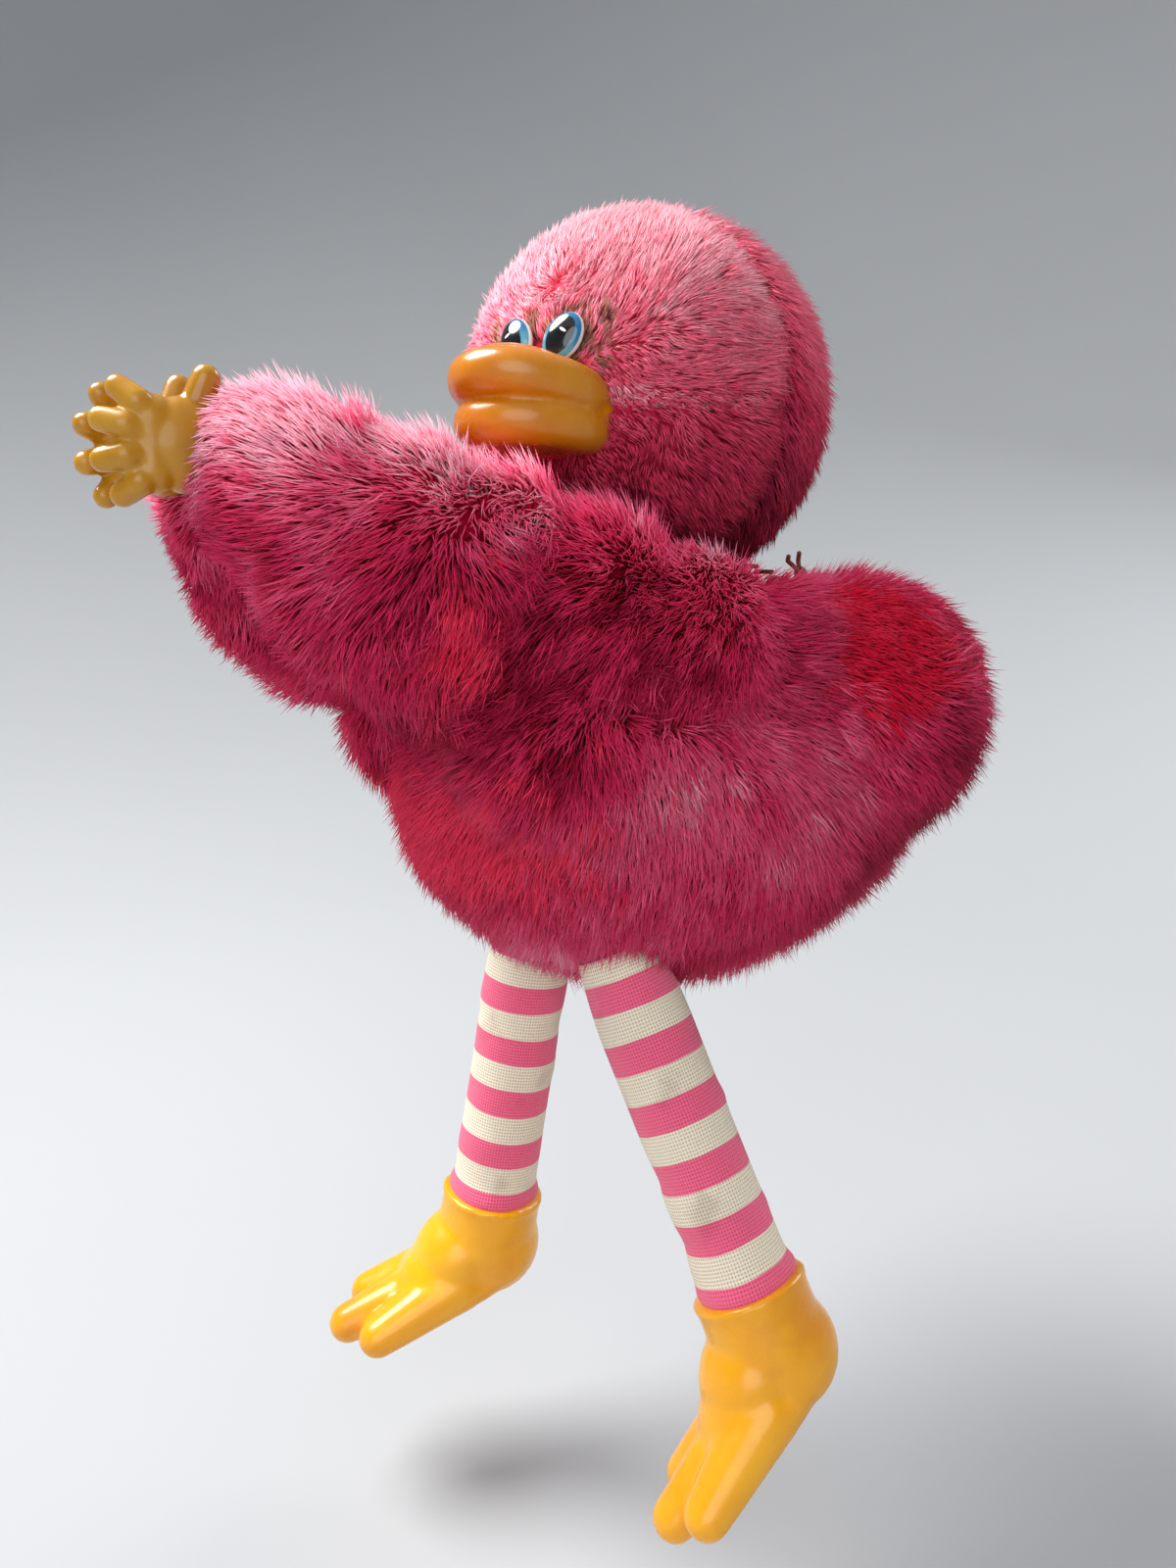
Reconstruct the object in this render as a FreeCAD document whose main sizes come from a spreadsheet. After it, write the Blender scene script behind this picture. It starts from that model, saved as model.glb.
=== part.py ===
"""Plush clip-on bird: a stuffed fur bird whose wings are the jaws of a sprung clip.

Frame: millimetres, +Z up, the bird faces -Y and its left side is +X. The origin is the
middle of the grip, halfway between the two palms. The drive sizes are in the sheet
"Sizes"; pieces take their sizes from it by expression and their places through size().
"""
import FreeCAD, Part
import math
import os

VECTOR = FreeCAD.Vector
ROTATION = FreeCAD.Rotation
PLACEMENT = FreeCAD.Placement
AXIS_X = VECTOR(1, 0, 0)
AXIS_Y = VECTOR(0, 1, 0)
AXIS_Z = VECTOR(0, 0, 1)
LEFT = 1
RIGHT = -1
POLES_TO_SIDES = ROTATION(AXIS_Y, 90)
SIDE_NAMES = {LEFT: "left", RIGHT: "right"}

SIZES = {
    # fabric and clearances
    "fur_thickness": 3.0,
    "cotton_thickness": 0.6,
    "vinyl_wall": 1.2,
    "soft_gap": 0.7,
    "pin_clearance": 0.05,
    # head
    "head_width": 50.0,
    "head_back": 66.0,
    "head_up": 8.0,
    "head_turn": 21.5,
    "neck_cut": 22.5,
    "neck_radius": 17.0,
    "chin_seam_drop": 1.2,
    "rear_seam_back": 2.0,
    # bill and eyes, placed from the middle of the head
    "bill_width": 25.0,
    "bill_back": 25.0,
    "upper_bill_height": 9.4,
    "upper_bill_up": 0.2,
    "lower_bill_height": 8.6,
    "lower_bill_up": -4.2,
    "lower_bill_share": 0.9,
    "bill_post_radius": 3.0,
    "bill_post_front": 34.6,
    "bill_post_length": 17.6,
    "eye_width": 4.8,
    "eye_height": 6.2,
    "eye_sink": 0.9,
    "eye_spread": 7.2,
    "eye_up": 6.0,
    "eye_lean": 30.0,
    # torso
    "body_width": 62.0,
    "body_length": 88.0,
    "body_back": 72.0,
    "body_up": -44.0,
    "rump_width": 40.0,
    "rump_side": 19.0,
    "rump_back": 94.0,
    "rump_up": -34.0,
    "shoulder_width": 21.0,
    "shoulder_length": 44.0,
    "shoulder_side": 19.0,
    "shoulder_back": 72.0,
    "shoulder_up": -24.0,
    # clip
    "pivot_back": 52.0,
    "pivot_up": -27.0,
    "lever_thickness": 3.0,
    "lever_height": 10.0,
    "lever_front_height": 7.2,
    "lever_length": 97.0,
    "lever_bow": 18.5,
    "palm_gap": 2.4,
    "ear_radius": 3.0,
    "ear_thickness": 1.3,
    "ear_gap": 0.2,
    "pin_radius": 1.5,
    "pin_head": 0.8,
    "spring_wire": 0.7,
    "spring_radius": 2.3,
    "spring_pitch": 0.95,
    "spring_turns": 3.5,
    "cavity_width": 46.2,
    "cavity_slack": 4.5,
    "cavity_end_gap": 0.6,
    "thread_radius": 0.35,
    "stitch_length": 4.0,
    "stitch_pitch": 3.2,
    "stitch_gap": 4.4,
    "stitch_count": 5,
    # hands and wing sleeves
    "palm_thickness": 7.0,
    "palm_length": 9.0,
    "palm_height": 9.0,
    "finger_radius": 1.7,
    "finger_length": 5.0,
    "thumb_radius": 1.8,
    "thumb_length": 4.0,
    "sleeve_thickness": 11.0,
    # legs and boots, placed from the hip
    "hip_side": 12.9,
    "hip_back": 55.2,
    "hip_drop": 1.718,
    "tab_radius": 0.7,
    "tab_width": 9.0,
    "tab_drop": 3.0,
    "tab_gap": 0.9,
    "tongue_width": 2.7,
    "leg_radius": 7.25,
    "leg_length": 43.9,
    "leg_flare": 10.0,
    "leg_in_boot": 10.0,
    "boot_wall": 0.9,
    "boot_lip": 0.6,
    "boot_lip_height": 1.3,
    "boot_height": 17.0,
    "boot_heel_back": 5.5,
    "boot_toe_front": 31.5,
    "boot_width": 17.0,
    "boot_flex": 22.0,
    "toe_width": 7.0,
    "toe_short": 4.2,
}

# pose of each leg at rest: splay about Y, swing about X, twist about the leg itself
LEG_POSE = {LEFT: (-25.7, 8.9, -26.5), RIGHT: (3.0, -9.0, -18.0)}

# side outline of a wing sleeve (back, up), from the wrist round the ridge and underneath
SLEEVE_SIDE = [(5.5, 4.0), (14.0, 3.0), (24.0, 1.2), (33.0, -2.5), (39.5, -7.0),
               (39.5, -19.0), (34.0, -28.0), (26.0, -32.0), (18.0, -31.0), (11.0, -25.0)]
# plan centre line of a wing sleeve (side, back)
SLEEVE_PLAN = [(10.3, 12.4), (15.5, 18.0), (18.0, 27.0), (17.5, 34.0)]

# shares and small offsets inside single pieces
NECK_THREAD_SHARE = 0.55
STITCH_LIFT = 0.1
KNOT_SIZE = 5
EAR_CLEARANCE = 0.6
WEB_SHARE = 0.8
FINGER_FAN = (38, 13, -13, -38)
FINGER_ROOT = 0.55
KNUCKLE_SHARE = 0.35
PALM_BACK = 1.0
PALM_ROUND = 0.7
THUMB_LEAN = 12
THUMB_BACK = 0.25
THUMB_UP = 0.6
LEG_TOP_EXTRA = 0.5
LEG_TOP_HALF = 1.6
SOLE_TRIM = 0.55
INSTEP_FRONT = 9.0
INSTEP_UP = 5.0
INSTEP_SHARE = 0.88
TOE_SPREAD = 0.85
TOE_ROOT_SPREAD = 0.45
TOE_ROOT_BACK = 3.0
TOE_ROOT_UP = 5.4
TOE_ROOT_SHARE = 1.45

doc = FreeCAD.newDocument("clip_bird")
sheet = doc.addObject("Spreadsheet::Sheet", "Sizes")
for row, (alias, value) in enumerate(SIZES.items(), start=1):
    sheet.set(f"A{row}", alias)
    sheet.set(f"B{row}", str(value))
    sheet.setAlias(f"B{row}", alias)
doc.recompute()

nodes = []


def size(alias):
    """The value of one named size in the sheet."""
    return float(sheet.get(alias))


def bind(feature, **expressions):
    """Bind properties of a feature to expressions over the sheet's aliases."""
    for name, expression in expressions.items():
        feature.setExpression(name, expression)
    return feature


def node(feature, label):
    """Mark a feature as a finished piece that is exported under this label."""
    feature.Label = label
    nodes.append(feature)
    return feature


def turned(name, radius_out, radius_along, placement):
    """A long round lump along its own Z: half an ellipse turned about its long axis."""
    long_way = VECTOR(0, 0, radius_along)
    wide_way = VECTOR(radius_out, 0, 0)
    arc = Part.ArcOfEllipse(Part.Ellipse(long_way, wide_way, VECTOR()), -math.pi, 0)
    profile = Part.Wire([arc.toShape(), Part.makeLine(arc.EndPoint, arc.StartPoint)])
    feature = doc.addObject("Part::Feature", name)
    feature.Shape = Part.Face(profile).revolve(VECTOR(), AXIS_Z, 360)
    feature.Placement = placement
    return feature


def barrel(name, length, girth, centre):
    """A long round lump that lies along Y, with its poles to the sides."""
    feature = doc.addObject("Part::Ellipsoid", name)
    bind(feature, Radius1=f"({girth}) / 2", Radius2=f"({girth}) / 2", Radius3=f"({length}) / 2")
    feature.Angle1 = -90
    feature.Angle2 = 90
    feature.Placement = PLACEMENT(centre, POLES_TO_SIDES)
    return feature


def ball(name, width, placement):
    feature = doc.addObject("Part::Sphere", name)
    bind(feature, Radius=f"({width}) / 2")
    feature.Placement = placement
    return feature


def cylinder(name, radius, height, placement):
    feature = doc.addObject("Part::Cylinder", name)
    bind(feature, Radius=radius, Height=height)
    feature.Placement = placement
    return feature


def box(name, corner, extent, placement=None):
    """A box from its low corner and its three extents, all plain lengths."""
    feature = doc.addObject("Part::Box", name)
    feature.Length, feature.Width, feature.Height = extent
    feature.Placement = (placement or PLACEMENT()) * PLACEMENT(corner, ROTATION())
    return feature


def cut(name, base, tool):
    feature = doc.addObject("Part::Cut", name)
    feature.Base = base
    feature.Tool = tool
    return feature


def fuse(name, shapes):
    feature = doc.addObject("Part::MultiFuse", name)
    feature.Shapes = shapes
    return feature


def common(name, shapes):
    feature = doc.addObject("Part::MultiCommon", name)
    feature.Shapes = shapes
    return feature


def copy(source, name):
    """A second use of a finished shape, so that no feature has two parents."""
    feature = doc.addObject("Part::Feature", name)
    doc.recompute()
    feature.Shape = source.Shape
    return feature


def smooth_line(points):
    """Straight runs joined by tangent arcs through a list of plan points."""
    corners = [VECTOR(side, back, 0) for side, back in points]
    pieces = []
    start = corners[0]
    for before, corner, after in zip(corners, corners[1:], corners[2:]):
        toward = (corner - before).normalize()
        onward = (after - corner).normalize()
        trim = 0.45 * min((corner - before).Length, (after - corner).Length)
        arc_start = corner - toward * trim
        arc_end = corner + onward * trim
        half_turn = toward.getAngle(onward) / 2
        inside = (onward - toward).normalize()
        radius = trim / math.tan(half_turn)
        middle = corner + inside * (math.hypot(radius, trim) - radius)
        pieces.append(Part.LineSegment(start, arc_start))
        pieces.append(Part.Arc(arc_start, middle, arc_end))
        start = arc_end
    pieces.append(Part.LineSegment(start, corners[-1]))
    return pieces


def band(name, points, thickness, height, middle_up):
    """A plate of one thickness that follows a smooth centre line in plan."""
    sketch = doc.addObject("Sketcher::SketchObject", f"{name}_line")
    for piece in smooth_line(points):
        sketch.addGeometry(piece, False)
    sketch.Placement = PLACEMENT(VECTOR(0, 0, middle_up), ROTATION())
    outline = doc.addObject("Part::Offset2D", f"{name}_outline")
    outline.Source = sketch
    bind(outline, Value=f"({thickness}) / 2")
    plate = doc.addObject("Part::Extrusion", f"{name}_plate")
    plate.Base = outline
    plate.DirMode = "Normal"
    plate.Solid = True
    plate.Symmetric = True
    plate.LengthFwd = height
    return plate


def side_slab(name, outline, half_width):
    """A slab across the bird from a closed outline of (back, up) points."""
    sketch = doc.addObject("Sketcher::SketchObject", f"{name}_outline")
    corners = [VECTOR(back, up, 0) for back, up in outline]
    for start, end in zip(corners, corners[1:] + corners[:1]):
        sketch.addGeometry(Part.LineSegment(start, end), False)
    sketch.Placement = PLACEMENT(VECTOR(), ROTATION(AXIS_Y, AXIS_Z, AXIS_X, "XYZ"))
    slab = doc.addObject("Part::Extrusion", f"{name}_slab")
    slab.Base = sketch
    slab.DirMode = "Normal"
    slab.Solid = True
    slab.Symmetric = True
    slab.LengthFwd = 2 * half_width
    return slab


# ---------------------------------------------------------------- head
def head_frame():
    """Place of the head's middle, turned to the bird's left."""
    centre = VECTOR(0, size("head_back"), size("head_up"))
    return PLACEMENT(centre, ROTATION(AXIS_Z, size("head_turn")))


def head_ball(name, inset):
    """The head's outer form, grown or shrunk by an expression, in the head's frame."""
    return ball(name, f"Sizes.head_width - 2 * ({inset})", head_frame())


def head_half_space(name, low, high):
    """A box in the head's frame, used to part the head along a seam."""
    return box(name, VECTOR(*low), [b - a for a, b in zip(low, high)], head_frame())


def bill_lip(name, tail, share, inset):
    """One lip of the bill: a flat disc with a fully rounded rim, shrunk by an inset."""
    centre = VECTOR(0, -size("bill_back"), size(f"{tail}_bill_up"))
    radius = size("bill_width") / 2 * share - inset
    half = size(f"{tail}_bill_height") / 2 - inset
    flat = radius - half
    top = VECTOR(flat, 0, half)
    bottom = VECTOR(flat, 0, -half)
    rim = Part.Arc(top, VECTOR(radius, 0, 0), bottom).toShape()
    profile = Part.Wire([Part.makeLine(VECTOR(0, 0, half), top), rim,
                         Part.makeLine(bottom, VECTOR(0, 0, -half)),
                         Part.makeLine(VECTOR(0, 0, -half), VECTOR(0, 0, half))])
    feature = doc.addObject("Part::Feature", f"{name}_{tail}")
    feature.Shape = Part.Face(profile).revolve(VECTOR(), AXIS_Z, 360)
    feature.Placement = head_frame() * PLACEMENT(centre, ROTATION())
    return feature


def bill_lips(name, inset):
    lower_share = size("lower_bill_share")
    return fuse(name, [bill_lip(name, "upper", 1, inset), bill_lip(name, "lower", lower_share, inset)])


def bill_post(name):
    """The bill's post, from the crease between its lips back into the stuffing."""
    front = VECTOR(0, -size("bill_post_front"), size("lower_bill_up") / 2)
    place = head_frame() * PLACEMENT(front, ROTATION(AXIS_X, -90))
    return cylinder(name, "Sizes.bill_post_radius", "Sizes.bill_post_length", place)


def build_bill():
    """Hollow two-lipped moulding that sits on the face, with a post into the stuffing."""
    walls = cut("bill_walls", bill_lips("bill_outer", 0),
                bill_lips("bill_inner", size("vinyl_wall")))
    seated = cut("bill_seated", walls, head_ball("bill_seat", "0"))
    return fuse("bill", [seated, bill_post("bill_post")])


def build_eye(side):
    """Domed oval eye that is glued to the face fabric."""
    tail = SIDE_NAMES[side]
    radius = size("head_width") / 2
    across = side * size("eye_spread") / 2
    up = size("eye_up")
    outward = VECTOR(across, -math.sqrt(radius ** 2 - across ** 2 - up ** 2), up).normalize()
    centre = outward * (radius - size("eye_sink"))
    upright = ROTATION(AXIS_Y, side * size("eye_lean"))
    dome = turned(f"eye_dome_{tail}", size("eye_width") / 2, size("eye_height") / 2,
                  head_frame() * PLACEMENT(centre, upright))
    seated = cut(f"eye_seated_{tail}", dome, head_ball(f"eye_seat_{tail}", "0"))
    return cut(f"eye_{tail}", seated, bill_lips(f"eye_bill_{tail}", 0))


def build_head():
    """Three fur panels over a stuffing, with the bill's plug let into them."""
    far = size("head_width")
    seam_up = -size("chin_seam_drop")
    seam_back = size("rear_seam_back")
    regions = {
        "head_crown_panel": ((-far, -far, seam_up), (far, seam_back, far)),
        "head_chin_panel": ((-far, -far, -size("neck_cut")), (far, seam_back, seam_up)),
        "head_back_panel": ((-far, seam_back, -size("neck_cut")), (far, far, far)),
    }
    node(build_bill(), "bill")
    for label, (low, high) in regions.items():
        skin = cut(f"{label}_skin", head_ball(f"{label}_outer", "0"),
                   head_ball(f"{label}_inner", "Sizes.fur_thickness"))
        panel = common(f"{label}_panel", [skin, head_half_space(f"{label}_region", low, high)])
        if label == "head_back_panel":
            node(panel, label)
        else:
            node(cut(f"{label}_holed", panel, bill_post(f"{label}_hole")), label)
    keep = head_half_space("head_keep", (-far, -far, -size("neck_cut")), (far, far, far))
    filling = common("head_filling", [head_ball("head_core", "Sizes.fur_thickness"), keep])
    node(cut("head_stuffing", filling, bill_post("head_recess")), "head_stuffing")
    for side in (LEFT, RIGHT):
        node(build_eye(side), f"eye_{SIDE_NAMES[side]}")


# ---------------------------------------------------------------- torso
def torso_form(name, inset):
    """Barrel and two rump cheeks, shrunk by an inset; the outer form has shoulders too."""
    middle = VECTOR(0, size("body_back"), size("body_up"))
    lumps = [barrel(f"{name}_barrel", f"Sizes.body_length - 2 * {inset}",
                    f"Sizes.body_width - 2 * {inset}", middle)]
    for side in (LEFT, RIGHT):
        tail = SIDE_NAMES[side]
        rump = VECTOR(side * size("rump_side"), size("rump_back"), size("rump_up"))
        lumps.append(ball(f"{name}_rump_{tail}", f"Sizes.rump_width - 2 * {inset}",
                          PLACEMENT(rump, ROTATION())))
        if not inset:
            shoulder = VECTOR(side * size("shoulder_side"), size("shoulder_back"),
                              size("shoulder_up"))
            lumps.append(barrel(f"{name}_shoulder_{tail}", "Sizes.shoulder_length",
                                "Sizes.shoulder_width", shoulder))
    return fuse(name, lumps)


def neck_column(name):
    """Everything above the neck seam within the neck's radius."""
    seam_up = size("head_up") - size("neck_cut") - 2 * size("soft_gap")
    place = PLACEMENT(VECTOR(0, size("head_back"), seam_up), ROTATION())
    return cylinder(name, "Sizes.neck_radius", "Sizes.head_width", place)


def clip_cavity(name):
    """Room inside the torso for both levers over their whole travel."""
    half = size("cavity_width") / 2
    half_up = size("lever_height") / 2 + size("cavity_slack")
    low = VECTOR(-half, 0, size("pivot_up") - half_up)
    top = size("head_up") - size("neck_cut") - 2 * size("soft_gap") - size("fur_thickness") + 0.4
    back = size("lever_length") + 2 * size("lever_thickness") + size("cavity_end_gap")
    extent = (2 * half, back, top - low.z)
    return box(name, low, extent)


def build_torso():
    """Two fur covers joined down the middle, over one stuffing with room for the clip."""
    far = size("body_length")
    for side in (LEFT, RIGHT):
        label = f"body_cover_{SIDE_NAMES[side]}"
        skin = cut(f"{label}_skin", torso_form(f"{label}_outer", 0),
                   torso_form(f"{label}_inner", size("fur_thickness")))
        low_side = 0 if side == LEFT else -far
        half = box(f"{label}_half", VECTOR(low_side, -far, -2 * far), (far, 4 * far, 4 * far))
        cover = common(f"{label}_half_skin", [skin, half])
        necked = cut(f"{label}_necked", cover, neck_column(f"{label}_neck"))
        room = ball(f"{label}_room", "Sizes.head_width + 2 * Sizes.soft_gap", head_frame())
        necked = cut(f"{label}_roomy", necked, room)
        node(cut(label, necked, clip_cavity(f"{label}_cavity")), label)
    lid_up = size("head_up") - size("neck_cut") - 2 * size("soft_gap") - size("fur_thickness")
    below = box("filling_below", VECTOR(-far, -far, lid_up - 2 * far), (2 * far, 4 * far, 2 * far))
    filling = common("torso_filling", [torso_form("torso_core", size("fur_thickness")), below])
    node(cut("body_stuffing", filling, clip_cavity("filling_cavity")), "body_stuffing")


def back_height(back):
    """Height of the torso's back on its middle line, that far back."""
    share = (back - size("body_back")) / (size("body_length") / 2)
    return size("body_up") + size("body_width") / 2 * math.sqrt(1 - share ** 2)


def build_threads():
    """Ladder stitch round the neck and the knotted closing stitches on the back."""
    seam_up = size("head_up") - size("neck_cut") - size("soft_gap")
    neck = doc.addObject("Part::Torus", "neck_thread")
    neck.Radius1 = size("neck_radius") * NECK_THREAD_SHARE
    neck.Radius2 = size("soft_gap") * NECK_THREAD_SHARE
    neck.Placement = PLACEMENT(VECTOR(0, size("head_back"), seam_up), ROTATION())
    node(neck, "neck_thread")
    under = size("head_up") - back_height(size("head_back"))
    head_end = size("head_back") + math.sqrt(max((size("head_width") / 2) ** 2 - under ** 2, 0))
    count = int(size("stitch_count"))
    backs = [head_end + size("stitch_gap") + number * size("stitch_pitch") for number in range(count)]
    stitches = []
    for number, back in enumerate(backs):
        up = back_height(back) + size("thread_radius") + STITCH_LIFT
        place = PLACEMENT(VECTOR(-size("stitch_length") / 2, back, up), ROTATION(AXIS_Y, 90))
        stitches.append(cylinder(f"stitch_{number}", "Sizes.thread_radius", "Sizes.stitch_length",
                                 place))
    knot_back = backs[-1] + size("stitch_pitch") / 2
    knot = VECTOR(0, knot_back, back_height(knot_back) + KNOT_SIZE / 2 * size("thread_radius"))
    stitches.append(ball("stitch_knot", f"{KNOT_SIZE} * Sizes.thread_radius",
                         PLACEMENT(knot, ROTATION())))
    node(fuse("closing_thread", stitches), "closing_thread")


# ---------------------------------------------------------------- clip
LEVER_OVERRUN = 6.0  # how far the side outline runs past both ends of the lever
LEVER_WRIST = 10.0  # how far back the low front of the lever reaches
LEVER_SLOPE = ((24.0, -4.0), (36.0, -11.5))  # the drop under the chin, back and up
LEVER_SETTLE = 6.0  # how far before the pivot the lever is level again


def lever_plan(side):
    """Centre line of one lever in plan, from the fingertips to the handle's end."""
    grip_side = size("palm_gap") / 2 + size("palm_thickness") / 2
    pivot = size("pivot_back")
    clear = size("ear_radius") + size("lever_thickness") / 2 + EAR_CLEARANCE
    bow = size("lever_bow")
    line = [(grip_side, -2.5), (grip_side, 5.0), (bow - 3, 18.0), (bow, 31.0), (bow / 2 + 2.5, 43.0),
            (clear, pivot), (bow - 2, pivot + 20), (bow + 2.5, size("lever_length"))]
    return [(side * across, back) for across, back in line]


def lever_side():
    """Side outline of a lever: it drops from the hands, under the chin, to the pivot."""
    half = size("lever_height") / 2
    pivot = size("pivot_back")
    down = size("pivot_up")
    front = size("lever_front_height") / 2
    line = [(-LEVER_OVERRUN, 0.0, front), (LEVER_WRIST, 0.0, front)]
    line += [(back, up, half) for back, up in LEVER_SLOPE]
    line += [(pivot - LEVER_SETTLE, down + LEVER_SETTLE / 4, half), (pivot, down, half),
             (size("lever_length") + LEVER_OVERRUN, down, half)]
    top = [(back, up + tall) for back, up, tall in line]
    bottom = [(back, up - tall) for back, up, tall in reversed(line)]
    return top + bottom


def ear_levels(side):
    """Lower faces of a lever's two ears above the pivot's middle."""
    half = size("lever_height") / 2
    thick = size("ear_thickness")
    outer = half - thick
    inner = outer - size("ear_gap") - thick
    if side == LEFT:
        return (outer, -inner - thick)
    return (inner, -outer - thick)


def build_lever(side):
    """One lever: a bowed plate with two ears that turn on the pin."""
    name = f"clip_lever_{SIDE_NAMES[side]}"
    plate = band(f"{name}_plan", lever_plan(side), "Sizes.lever_thickness", 4 * size("lever_length"),
                 0)
    slab = side_slab(f"{name}_side", lever_side(), 2 * size("lever_bow"))
    arm = common(f"{name}_arm", [plate, slab])
    pieces = [arm]
    pivot = VECTOR(0, size("pivot_back"), size("pivot_up"))
    reach = size("ear_radius") + size("lever_thickness") / 2 + EAR_CLEARANCE
    for number, level in enumerate(ear_levels(side)):
        place = PLACEMENT(pivot + VECTOR(0, 0, level), ROTATION())
        pieces.append(cylinder(f"{name}_ear_{number}", "Sizes.ear_radius", "Sizes.ear_thickness",
                               place))
        low = VECTOR(0 if side == LEFT else -reach, -size("ear_radius") * WEB_SHARE, level)
        pieces.append(box(f"{name}_web_{number}", pivot + low,
                          (reach, 2 * size("ear_radius") * WEB_SHARE, size("ear_thickness"))))
    bore_low = pivot - VECTOR(0, 0, size("lever_height"))
    bore = cylinder(f"{name}_bore", "Sizes.pin_radius + Sizes.pin_clearance",
                    "2 * Sizes.lever_height", PLACEMENT(bore_low, ROTATION()))
    return cut(name, fuse(f"{name}_solid", pieces), bore)


def build_pin():
    """Headed pin through all four ears."""
    half = size("lever_height") / 2 + size("ear_gap")
    pivot = VECTOR(0, size("pivot_back"), size("pivot_up"))
    shaft = cylinder("pin_shaft", "Sizes.pin_radius", "Sizes.lever_height + 2 * Sizes.ear_gap",
                     PLACEMENT(pivot - VECTOR(0, 0, half), ROTATION()))
    pieces = [shaft]
    for number, low in enumerate((half, -half - size("pin_head"))):
        pieces.append(cylinder(f"pin_head_{number}", "Sizes.ear_radius - Sizes.ear_gap",
                               "Sizes.pin_head",
                               PLACEMENT(pivot + VECTOR(0, 0, low), ROTATION())))
    return fuse("clip_pivot_pin", pieces)


def build_spring(handle_points):
    """Torsion spring: a coil round the pin and one arm along the inside of each handle."""
    wire = size("spring_wire") / 2
    radius = size("spring_radius")
    turns = size("spring_turns")
    rise = size("spring_pitch") * turns
    pivot = VECTOR(0, size("pivot_back"), size("pivot_up"))
    line = Part.makeHelix(size("spring_pitch"), rise, radius, 0, True)
    line.translate(pivot - VECTOR(0, 0, rise / 2))
    start = pivot + VECTOR(radius, 0, -rise / 2)
    section = Part.Wire(Part.makeCircle(wire, start, AXIS_Y))
    pieces = [Part.Wire(line.Edges).makePipeShell([section], True, True)]
    for side in (LEFT, RIGHT):
        level = VECTOR(0, size("pin_clearance"), pivot.z - side * rise / 2)
        corners = [VECTOR(side * radius, pivot.y, 0) + level]
        corners += [VECTOR(side * across, back, 0) + level for across, back in handle_points]
        bend = Part.makeSphere(wire, corners[1])
        runs = [Part.makeCylinder(wire, (b - a).Length, a, b - a)
                for a, b in zip(corners, corners[1:])]
        pieces.append(runs[0].fuse([bend] + runs[1:]))
    feature = doc.addObject("Part::Feature", "clip_spring")
    feature.Shape = Part.makeCompound(pieces)
    return feature


# ---------------------------------------------------------------- hands and wing sleeves
def capsule(name, radius, length, placement):
    """A round-ended finger along its own +Z, from two aliases."""
    rod = cylinder(f"{name}_rod", f"Sizes.{radius}", f"Sizes.{length}", placement)
    end = doc.addObject("Part::Sphere", f"{name}_end")
    bind(end, Radius=f"Sizes.{radius}")
    end.Placement = placement * PLACEMENT(VECTOR(0, 0, size(length)), ROTATION())
    return [rod, end]


def build_hand(side, lever):
    """Vinyl hand on the lever's end: flat palm, four fingers and a thumb."""
    name = f"hand_{SIDE_NAMES[side]}"
    half_gap = size("palm_gap") / 2
    thick = size("palm_thickness")
    long_half = size("palm_length") / 2
    high_half = size("palm_height") / 2
    middle = VECTOR(side * (half_gap + thick / 2), PALM_BACK, 0)
    palm_low = VECTOR(side * half_gap if side == LEFT else -half_gap - thick, middle.y, 0)
    palm = cylinder(f"{name}_palm", f"Sizes.palm_height / 2 + {PALM_ROUND}", "Sizes.palm_thickness",
                    PLACEMENT(palm_low, ROTATION(AXIS_Y, 90)))
    pieces = [palm]
    knuckles = middle + VECTOR(0, -KNUCKLE_SHARE * long_half, 0)
    for number, fan in enumerate(FINGER_FAN):
        turn = ROTATION(AXIS_X, 90 - fan)
        root = knuckles + turn.multVec(VECTOR(0, 0, FINGER_ROOT * high_half))
        pieces += capsule(f"{name}_finger_{number}", "finger_radius", "finger_length",
                          PLACEMENT(root, turn))
    thumb_turn = ROTATION(AXIS_X, THUMB_LEAN)
    thumb_root = middle + VECTOR(0, THUMB_BACK * long_half, THUMB_UP * high_half)
    pieces += capsule(f"{name}_thumb", "thumb_radius", "thumb_length",
                      PLACEMENT(thumb_root, thumb_turn))
    solid = fuse(f"{name}_solid", pieces)
    far = 2 * (thick + size("palm_length"))
    low_side = half_gap - far if side == LEFT else -half_gap
    palm_plane = box(f"{name}_palm_plane", VECTOR(low_side, -far, -far), (far, 2 * far, 2 * far))
    flat = cut(f"{name}_flat", solid, palm_plane)
    return cut(name, flat, copy(lever, f"{name}_lever_copy"))


def build_sleeve(side, lever):
    """Fur sleeve over the front of a lever, hanging lower than the lever itself."""
    name = f"wing_sleeve_{SIDE_NAMES[side]}"
    plan = [(side * across, back) for across, back in SLEEVE_PLAN]
    plate = band(f"{name}_plan", plan, "Sizes.sleeve_thickness", 4 * size("lever_length"), 0)
    slab = side_slab(f"{name}_side", SLEEVE_SIDE, 2 * size("lever_bow"))
    form = common(f"{name}_form", [plate, slab])
    return cut(name, form, copy(lever, f"{name}_lever_copy"))


# ---------------------------------------------------------------- legs
def hip_point(side):
    """Middle of the hip's seam, just under the torso's surface."""
    across = size("hip_side") / (size("body_width") / 2)
    along = (size("hip_back") - size("body_back")) / (size("body_length") / 2)
    surface = size("body_up") - size("body_width") / 2 * math.sqrt(1 - across ** 2 - along ** 2)
    return VECTOR(side * size("hip_side"), size("hip_back"), surface - size("hip_drop"))


def leg_frame(side):
    """Frame at the hip: the leg hangs along its own -Z and its toes point along -Y."""
    splay, swing, twist = LEG_POSE[side]
    turn = ROTATION(AXIS_Y, splay).multiply(ROTATION(AXIS_X, swing)).multiply(ROTATION(AXIS_Z, twist))
    return PLACEMENT(hip_point(side), turn)


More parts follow.
